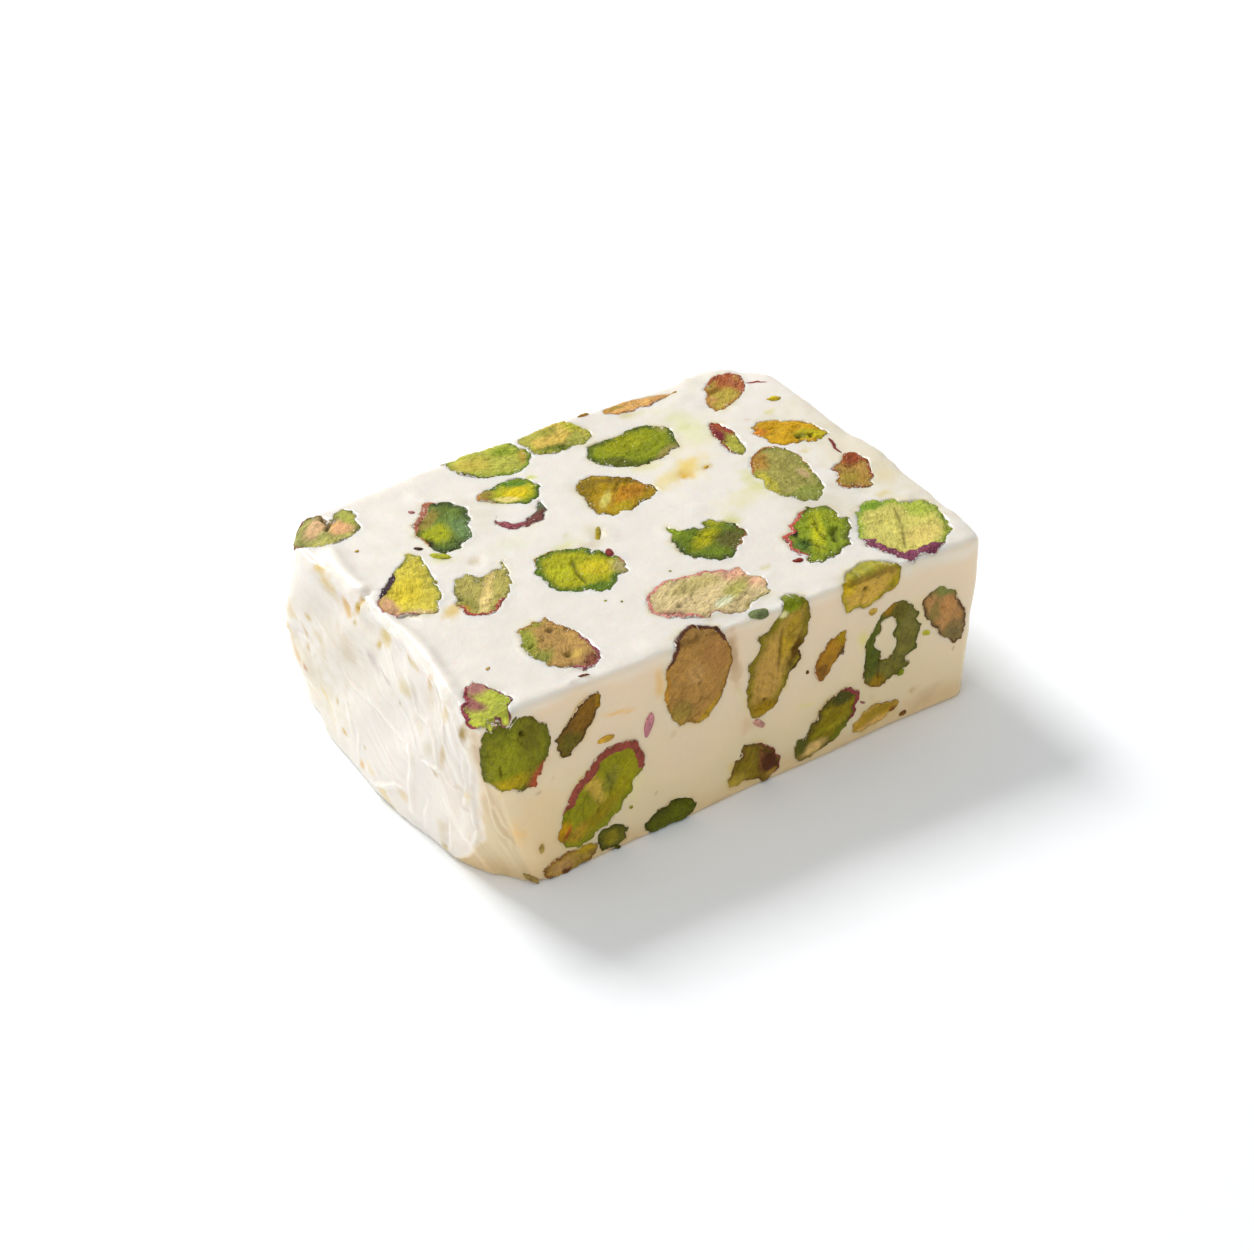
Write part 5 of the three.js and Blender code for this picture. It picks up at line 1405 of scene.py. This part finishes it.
# %% Lists of the bits
# kind, face, x, y, length, width, turn, colour
CRUMBS = [
    ("golden", "top", 28.6, 12.6, 1.7, 0.9, -20, "d9bd22"),
    ("golden", "top", 20.3, 20.4, 0.7, 0.35, 10, "c99a50"),
    ("green", "top", -20.0, 6.4, 2.6, 0.9, -52, "c2c236"),
    ("skin", "top", -18.0, 15.5, 1.0, 0.5, -60, "b77e78"),
    ("skin", "top", -4.6, -3.4, 1.2, 0.8, -60, "a54a4a"),
    ("skin", "top", 11.4, -15.4, 1.2, 0.8, -20, "8c2a1c"),
    ("golden", "top", -3.7, 0.3, 2.7, 0.7, 60, "b4a030"),
    ("golden", "top", 8.3, 21.4, 1.6, 0.6, 8, "d0a048"),
    ("green", "top", 2.3, -20.9, 2.0, 1.2, -15, "7d8a58"),
    ("golden", "top", -26.7, -13.8, 0.5, 0.4, 0, "d0b070"),
    ("golden", "top", 13.9, 5.0, 0.6, 0.35, 0, "c9a030"),
    ("green", "top", -22.9, 2.6, 0.7, 0.4, 60, "a89a3c"),
    ("golden", "top", -26.8, 12.3, 0.5, 0.4, 0, "d6b45c"),
    ("green", "top", -9.9, -10.3, 0.35, 0.25, 0, "a0a040"),
    ("green", "top", -8.6, -11.4, 0.3, 0.3, 0, "a8a850"),
    ("green", "top", -1.2, -9.7, 0.35, 0.25, 0, "b0a858"),
    ("skin", "front", -12.6, 13.2, 2.9, 1.15, 75, "b5757c"),
    ("skin", "front", 1.6, 7.7, 1.9, 0.8, -40, "b58474"),
    ("golden", "front", -17.8, 13.5, 2.2, 0.75, 8, "b98f2e"),
    ("golden", "front", 16.4, 16.4, 1.1, 0.8, 0, "b8963a"),
    ("green", "front", 23.6, 11.0, 1.2, 0.7, -25, "b9b23a"),
    ("skin", "front", 21.0, 1.2, 1.1, 0.7, 20, "6e4a1c"),
    ("skin", "front", 7.8, 11.9, 0.4, 0.5, 0, "5a3c1c"),
    ("green", "front", -15.5, 4.5, 0.5, 0.4, 0, "7f7a20"),
    ("skin", "front", 15.2, 5.1, 0.9, 0.3, -30, "8a5a4c"),
    ("green", "front", 20.4, 6.9, 0.9, 0.6, 40, "7f8a20"),
    ("golden", "front", -26.8, 4.3, 0.7, 1.0, 0, "a8904c"),
    ("golden", "front", -28.1, 0.8, 2.2, 0.8, -35, "8a7440"),
]
# kind, face, places on the face, thickness, colour
SHREDS = [
    ("skin", "top", [(28.0, 17.2), (29.2, 16.6), (30.0, 15.7)], 0.25, "b05050"),
    ("skin", "top", [(28.7, 2.2), (28.5, 1.2), (28.0, 0.0), (27.9, -1.3)], 0.38, "7c3430"),
    ("skin", "top", [(-21.5, 9.3), (-21.1, 8.8), (-20.7, 8.6)], 0.5, "4c3424"),
    ("skin", "top", [(-19.8, -19.9), (-19.2, -20.1), (-18.6, -20.4)], 0.3, "7c4a34"),
]
print("crumbs", len(CRUMBS), "shreds", len(SHREDS))


# %% [markdown]
# A crumb has to sit on the finished relief, not on the smooth skin. A ray from outside finds the place, and
# two directions in the surface say which way the crumb lies.

# %% Find the surface
def surface_at(face, x, y):
    """Where a drawing's point meets the finished surface, and the direction outwards there."""
    across, up = AXES[face]
    outwards = np.cross(across, up)
    start = (x * across + y * up) + np.abs(across + up) * DRAWING + outwards * FAR_OUT
    hit, normal, _, _ = surface.ray_cast(Vector(start), Vector(-outwards))
    return np.array(hit), np.array(normal)


def flat_frame(normal, across, angle):
    """Two directions in the surface, the first turned by an angle from across."""
    first = across - normal * (across @ normal)
    first /= np.linalg.norm(first)
    second = np.cross(normal, first)
    turned = math.radians(angle)
    rise, run = math.sin(turned), math.cos(turned)
    return first * run + second * rise, second * run - first * rise


bar_triangles = triangles_of(bar_mesh)
both_points = np.vstack([points, nuts])
nut_faces = np.vstack(nut_quads) + len(points)
surface = BVHTree.FromPolygons(both_points.tolist(), bar_triangles.tolist() + nut_faces.tolist())
print("surface faces", len(bar_triangles) + len(nut_faces))

# %% Crumbs
ball = bmesh.new()
bmesh.ops.create_icosphere(ball, subdivisions=3, radius=1.0)
ball_points = np.array([vertex.co for vertex in ball.verts])
ball_faces = np.array([[vertex.index for vertex in face.verts] for face in ball.faces])
ball.free()
bits = {kind: ([], [], []) for kind in ("green", "golden", "skin")}


def keep_bit(kind, points, faces, colour):
    """Puts one bit with the others of its kind."""
    kept_points, kept_faces, kept_colours = bits[kind]
    kept_faces.append(faces + sum(len(some) for some in kept_points))
    kept_points.append(points)
    kept_colours.append(colour)


for number, (kind, face, x, y, length, width, angle, code) in enumerate(CRUMBS):
    place, normal = surface_at(face, x, y)
    first, second = flat_frame(normal, AXES[face][0], angle)
    dents = 1 + 0.6 * noise(ball_points, 1.1, 300 + number, 3)
    body = ball_points * dents[:, None] * (length / 2, width / 2, 0.12 + 0.10 * width)
    crumb = place + body[:, :1] * first + body[:, 1:2] * second + body[:, 2:] * normal
    shade = paint(code) / (TOP_LIGHT if face == "top" else SIDE_LIGHT)
    colour = shade * (1 + 0.5 * noise(crumb, 0.5, 330, 2))[:, None]
    keep_bit(kind, crumb, ball_faces, as_paint(colour))
print("ball points", len(ball_points))

# %% [markdown]
# A shred starts as a few places on a face. More are put between them, each is dropped on the surface, and a
# ring of points round each makes the tube.

# %% Shreds
TUBE_SIDES = 10
TUBE_RINGS = 28
FLATTENED = 0.8      # a shred is lower than it is wide


def tube_points(centres, normals, thickness):
    """Rings of points along a line on the surface, thin at both ends."""
    rows = []
    for i, direction in enumerate(np.gradient(centres, axis=0)):
        direction = direction / np.linalg.norm(direction)
        side = np.cross(normals[i], direction)
        taper = max(0.08, math.sin(math.pi * (i + 0.6) / (len(centres) + 0.2)) ** 0.6)
        for k in range(TUBE_SIDES):
            turned = 2 * math.pi * k / TUBE_SIDES
            around = side * math.cos(turned) + normals[i] * math.sin(turned) * FLATTENED
            rows.append(centres[i] + around * thickness / 2 * taper)
    return np.array(rows)


def tube_faces():
    """The triangles that join the rings and close both ends."""
    faces = []
    for i in range(TUBE_RINGS - 1):
        for k in range(TUBE_SIDES):
            a = i * TUBE_SIDES + k
            b = i * TUBE_SIDES + (k + 1) % TUBE_SIDES
            faces.append((a, b, b + TUBE_SIDES))
            faces.append((a, b + TUBE_SIDES, a + TUBE_SIDES))
    last = (TUBE_RINGS - 1) * TUBE_SIDES
    for k in range(1, TUBE_SIDES - 1):
        faces.append((0, k + 1, k))
        faces.append((last, last + k, last + k + 1))
    return np.array(faces)


for kind, face, line, thickness, code in SHREDS:
    line = np.array(line)
    steps = np.linspace(0, len(line) - 1, TUBE_RINGS)
    places = [np.interp(steps, range(len(line)), line[:, axis]) for axis in (0, 1)]
    found = [surface_at(face, x, y) for x, y in zip(*places)]
    centres = np.array([place for place, _ in found])
    for axis in range(3):
        centres[1:-1, axis] = (centres[:-2, axis] + 2 * centres[1:-1, axis] + centres[2:, axis]) / 4
    tube = tube_points(centres, [normal for _, normal in found], thickness)
    tube *= 1 + 0.002 * noise(tube, 0.4, 350)[:, None]
    colour = paint(code) * (1 + 0.3 * noise(tube, 0.5, 360, 2))[:, None]
    keep_bit(kind, tube, tube_faces(), as_paint(colour))
print("rings in a shred", TUBE_RINGS)

# %% [markdown]
# The bits of a kind become one mesh. They carry the same attributes as the nuts, so one material serves
# both.

# %% Bits as pieces
for kind, (kept_points, kept_faces, kept_colours) in bits.items():
    bit_points = np.vstack(kept_points)
    bit_points[:, 2] = np.maximum(bit_points[:, 2], 0.0)
    mesh = mesh_of("crumbs_" + kind, bit_points, np.vstack(kept_faces))
    for name in ("tint", "husk", "cream"):
        give(mesh, name, "FLOAT_COLOR", np.vstack(kept_colours))
    for name in ("rim_gap", "rim"):
        give(mesh, name, "FLOAT", np.ones(len(bit_points)))
    # a middling chance of painted glints on the crumbs
    give(mesh, "glint_chance", "FLOAT", np.full(len(bit_points), 0.5))
    give(mesh, "grain", "FLOAT_VECTOR", bit_points)
    nut_pieces.append(place_piece("crumbs_" + kind, mesh))
    print("crumbs", kind, len(bit_points))

# %% [markdown]
# ## Materials
# Both materials start from the colours stored at the points and add what is too fine for a mesh: the
# granular cut of the nut, its waxy gloss, the faint pores of the nougat. Nougat lets light in a little way,
# so that its edges glow; subsurface scattering does that. Sizes in the textures are again millimetres.

# %% Node helpers
class Painter:
    """Adds and joins the nodes of one material."""

    def __init__(self, name):
        self.material = bpy.data.materials.new(name)
        self.material.use_nodes = True
        self.tree = self.material.node_tree
        self.shader = self.tree.nodes["Principled BSDF"]

    def add(self, kind, settings=None, **inputs):
        """A new node with its settings, and its inputs as values or links."""
        node = self.tree.nodes.new("ShaderNode" + kind)
        for key, value in (settings or {}).items():
            setattr(node, key, value)
        for key, value in inputs.items():
            self.set(node, key.replace("_", " "), value)
        return node

    def set(self, node, socket, value):
        """Gives a socket a value, or links it to another node's output."""
        target = node.inputs[int(socket)] if socket.isdigit() else node.inputs[socket]
        if isinstance(value, bpy.types.NodeSocket):
            self.tree.links.new(value, target)
        else:
            target.default_value = value

    def stored(self, name, output):
        """A value that is stored at the points of the mesh."""
        return self.add("Attribute", {"attribute_name": name}).outputs[output]

    def math(self, operation, first, second=0.0, third=0.0):
        """One step of arithmetic on up to three values."""
        node = self.add("Math", {"operation": operation})
        for place, value in enumerate((first, second, third)):
            self.set(node, str(place), value)
        return node.outputs[0]

    def spread(self, value, low, high, to_low, to_high):
        """Maps one range of values softly on another."""
        node = self.add("MapRange", {"interpolation_type": "SMOOTHSTEP"})
        for socket, number in (("Value", value), ("From Min", low), ("From Max", high),
                               ("To Min", to_low), ("To Max", to_high)):
            self.set(node, socket, number)
        return node.outputs["Result"]

    def noise(self, vector, size, detail=2.0, roughness=0.5):
        """Noise from 0 to 1 with swells about size apart."""
        node = self.add("TexNoise", Vector=vector, Scale=1.0 / size, Detail=detail, Roughness=roughness)
        return node.outputs["Fac"]

    def cells(self, vector, size):
        """Distance to the middles of scattered cells."""
        return self.add("TexVoronoi", Vector=vector, Scale=1.0 / size).outputs["Distance"]

    def scaled(self, colour, factor):
        """A colour or a place, times a factor."""
        node = self.add("VectorMath", {"operation": "SCALE"})
        self.set(node, "0", colour)
        self.set(node, "Scale", factor)
        return node.outputs[0]

    def mixed(self, share, first, second):
        """Two colours mixed, the second by its share."""
        node = self.add("Mix", {"data_type": "RGBA"})
        self.set(node, "0", share)
        self.set(node, "6", first)
        self.set(node, "7", second)
        return node.outputs[2]

    def bump(self, height, distance, strength=1.0):
        """A height in the texture as a tilt of the surface."""
        node = self.add("Bump", Strength=strength, Distance=distance, Height=height)
        return node.outputs["Normal"]

    def in_mm(self):
        """The place on the object, in millimetres."""
        place = self.add("TexCoord").outputs["Object"]
        return self.scaled(place, 1 / MM)

    def finish(self, **inputs):
        """Sets the shader's own inputs and hands over the material."""
        for key, value in inputs.items():
            self.set(self.shader, key.replace("_", " "), value)
        return self.material


# %% [markdown]
# The nut material varies the stored colours with noise of several sizes, some of it stretched along the
# grain. It draws the torn line between flesh and skin, lets a little nougat smear over the rim, and paints
# small pale glints into the colour, as painted highlights, most of them near the rims of the nuts on top.

# %% Nut material
nut = Painter("sliced_pistachio")
place = nut.stored("grain", "Vector")
fibre_place = nut.add("Mapping", Vector=place, Scale=(0.22, 1.0, 1.0)).outputs[0]
grains = nut.cells(place, 0.3)
fine = nut.noise(place, 0.16, 2.0)
mottle = nut.noise(place, 0.6, 4.0, 0.62)
fibres = nut.noise(fibre_place, 0.26, 3.0)
torn_edge = nut.noise(place, 0.42, 4.0, 0.65)
shade = nut.math("MULTIPLY_ADD", mottle, 0.80, 0.60)
shade = nut.math("MULTIPLY_ADD", grains, -0.10, nut.math("ADD", shade, 0.04))
shade = nut.math("MULTIPLY_ADD", fibres, 0.60, nut.math("SUBTRACT", shade, 0.30))
shade = nut.math("MULTIPLY_ADD", fine, 0.16, nut.math("SUBTRACT", shade, 0.08))
flesh = nut.scaled(nut.stored("tint", "Color"), nut.math("MAXIMUM", shade, 0.12))
peel = nut.scaled(nut.stored("husk", "Color"), nut.math("MULTIPLY_ADD", fine, 1.0, 0.5))
ragged = nut.math("MULTIPLY_ADD", torn_edge, 0.9, -0.45)
husk_edge = nut.math("ADD", nut.stored("rim_gap", "Fac"), ragged)
is_husk = nut.spread(husk_edge, -0.05, 0.05, 1.0, 0.0)
smear_edge = nut.math("MULTIPLY_ADD", ragged, 0.6, nut.math("SUBTRACT", nut.stored("rim", "Fac"), 0.06))
is_smear = nut.spread(smear_edge, -0.03, 0.03, 1.0, 0.0)
surface_colour = nut.mixed(is_husk, flesh, peel)
surface_colour = nut.mixed(is_smear, surface_colour, nut.stored("cream", "Color"))
# painted highlights: pale specks mixed into the colour where a fine noise is high, more where glints are
# likely
sparkle = nut.noise(place, 0.22, 1.0, 0.4)
from_spark = nut.math("SUBTRACT", sparkle, nut.math("MULTIPLY_ADD", nut.stored("glint_chance", "Fac"), -0.17, 0.84))
painted_glint = nut.spread(from_spark, 0.0, 0.04, 0.0, 0.85)
surface_colour = nut.mixed(painted_glint, surface_colour, (0.9, 0.88, 0.78, 1.0))
height = nut.math("MULTIPLY_ADD", grains, -0.4, nut.math("MULTIPLY", fine, 0.5))
height = nut.math("MULTIPLY_ADD", fibres, 1.0, height)
height = nut.math("MULTIPLY_ADD", mottle, 2.4, height)
height = nut.math("MULTIPLY_ADD", is_smear, 0.8, height)
gloss = nut.spread(mottle, 0.35, 0.65, 0.25, 0.55)
is_wet = nut.spread(nut.noise(place, 0.33, 3.0, 0.6), 0.60, 0.68, 0.0, 1.0)
nut_material = nut.finish(
    Base_Color=surface_colour, Roughness=gloss, Normal=nut.bump(height, 0.00016, 0.9),
    IOR=1.45, Specular_IOR_Level=0.12, Subsurface_Weight=0.12, Subsurface_Radius=(1.0, 0.8, 0.3),
    Subsurface_Scale=0.001, Coat_Weight=is_wet, Coat_Roughness=0.1, Coat_Normal=nut.bump(height, 0.0003, 1.0))
for piece in nut_pieces:
    piece.data.materials.append(nut_material)
print("pieces with nut material", len(nut_pieces))

# %% [markdown]
# The nougat is smoother than the nuts. Fine hairs run along its torn end. The crests of the folds and the
# hairs are painted a little lighter, as painted highlights, and are shinier too. A good share of the light
# goes into the nougat and comes out beside it, so it looks soft.

# %% Nougat material
soft_white = Painter("nougat_cream")
place = soft_white.in_mm()
flow_place = soft_white.stored("flow", "Vector")
at_end = soft_white.stored("torn", "Fac")
crest_line = soft_white.stored("crest", "Fac")
fine = soft_white.noise(place, 0.3, 2.0, 0.5)
smear = soft_white.noise(place, 2.2, 3.0, 0.5)
drawn = soft_white.noise(flow_place, 1.1, 2.0, 0.5)
hair = soft_white.math("ABSOLUTE", soft_white.math("SUBTRACT", drawn, 0.5))
hair = soft_white.math("MULTIPLY", soft_white.spread(hair, 0.0, 0.022, 1.0, 0.0), at_end)
ridge = soft_white.math("MAXIMUM", crest_line, soft_white.math("MULTIPLY", hair, 0.3))
shade = soft_white.math("MULTIPLY_ADD", smear, 0.04, 0.98)
# painted highlight: the crests and the hairs a little lighter
shade = soft_white.math("MULTIPLY_ADD", ridge, 0.10, shade)
base = soft_white.scaled(soft_white.stored("cream", "Color"), shade)
stretched = soft_white.math("MULTIPLY", drawn, at_end)
height = soft_white.math("MULTIPLY_ADD", smear, 0.9, soft_white.math("MULTIPLY", fine, 0.16))
height = soft_white.math("MULTIPLY_ADD", stretched, 0.45, height)
height = soft_white.math("MULTIPLY_ADD", hair, 0.2, height)
gloss = soft_white.spread(smear, 0.3, 0.7, 0.28, 0.46)
coat = soft_white.math("MULTIPLY_ADD", ridge, 0.5, 0.18)
nougat_material = soft_white.finish(
    Base_Color=base, Roughness=gloss, Normal=soft_white.bump(height, 0.0002, 0.7),
    IOR=1.48, Subsurface_Weight=0.35, Subsurface_Radius=(1.0, 0.7, 0.45), Subsurface_Scale=0.0022,
    Coat_Weight=coat, Coat_Roughness=0.15)
nougat.data.materials.append(nougat_material)
print("nougat material has", len(nougat_material.node_tree.nodes), "nodes")

# %% [markdown]
# ## Light, floor and camera
# A pale floor in soft studio light: an even white surround, a softbox high behind the bar, and a weak one
# at the torn end. The floor itself glows faintly, evenly and a little blue, which lifts its shadows. The
# surround and the floor alone light the long cut side, which is why it looks darker than the top. The light
# from behind also skims the glossy rims of the nuts and makes them glint.

# %% Floor
floor_mesh = bpy.data.meshes.new("floor")
floor_mesh.from_pydata([(-2, -2, 0), (2, -2, 0), (2, 2, 0), (-2, 2, 0)], [], [(0, 1, 2, 3)])
floor = bpy.data.objects.new("floor", floor_mesh)
bpy.context.scene.collection.objects.link(floor)
floor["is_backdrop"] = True
paper = Painter("white_paper")
speck = paper.noise(paper.in_mm(), 3.0, 2.0)
paper_white = paper.scaled((0.97, 0.985, 1.0), paper.spread(speck, 0.0, 1.0, 0.97, 0.99))
# the floor glows faintly, evenly and a little blue, which lifts its shadows
floor_mesh.materials.append(paper.finish(
    Base_Color=paper_white, Roughness=0.8, Specular_IOR_Level=0.1,
    Emission_Color=(0.7, 0.9, 1.0, 1.0), Emission_Strength=0.045))
print("floor corners", len(floor_mesh.vertices))

# %% [markdown]
# An area light is a glowing square. A large one near the bar gives soft shadows, and its direction decides
# which faces are bright.

# %% Light
SURROUND = 0.52      # how strongly the white surround shines
scene = bpy.context.scene
scene.view_settings.view_transform = "Standard"
scene.view_settings.look = "None"
surround = bpy.data.worlds.new("surround")
surround.use_nodes = True
surround.node_tree.nodes["Background"].inputs["Color"].default_value = (1.0, 1.0, 1.0, 1.0)
surround.node_tree.nodes["Background"].inputs["Strength"].default_value = SURROUND
scene.world = surround


def softbox(name, direction, distance, size, power):
    """A square light that looks at the bar from a direction."""
    lamp = bpy.data.lights.new(name, "AREA")
    lamp.size = size
    lamp.energy = power
    holder = bpy.data.objects.new(name, lamp)
    scene.collection.objects.link(holder)
    direction = Vector(direction).normalized()
    holder.location = direction * distance
    holder.rotation_euler = direction.to_track_quat("Z", "Y").to_euler()
    print(name, "size", size, "power", power)


softbox("key", (-0.15, 1.0, 1.02), 0.6, 0.2, 3.2)
softbox("side_fill", (-1.0, -0.25, 0.4), 0.7, 0.5, 0.8)

# %% [markdown]
# The camera looks down on the near corner through a long lens. Its pose is written as three directions: to
# the right of the picture, up in it, and back from the bar.

# %% Camera
RIGHT = Vector((0.8269, -0.5624, 0.0))
UP = Vector((0.3226, 0.4743, 0.8192))
BACK = Vector((-0.4607, -0.6774, 0.5736))
lens = bpy.data.cameras.new("camera")
lens.lens = 100.0
lens.sensor_width = 36.0
camera = bpy.data.objects.new("camera", lens)
scene.collection.objects.link(camera)
pose = Matrix((RIGHT, UP, BACK)).transposed().to_4x4()
pose.translation = Vector((-176.612, -260.171, 228.462)) * MM
camera.matrix_world = pose
scene.camera = camera
print("camera at", [round(value, 3) for value in pose.translation])

# %% [markdown]
# ## Size
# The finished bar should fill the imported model's box and hardly pass it. Both boxes are written down.

# %% Write the sizes
looks_box = [list(corner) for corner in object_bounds()]
for name, box in (("model", MODEL_BOX), ("looks", looks_box)):
    print(name, [[round(value / MM, 2) for value in corner] for corner in box])
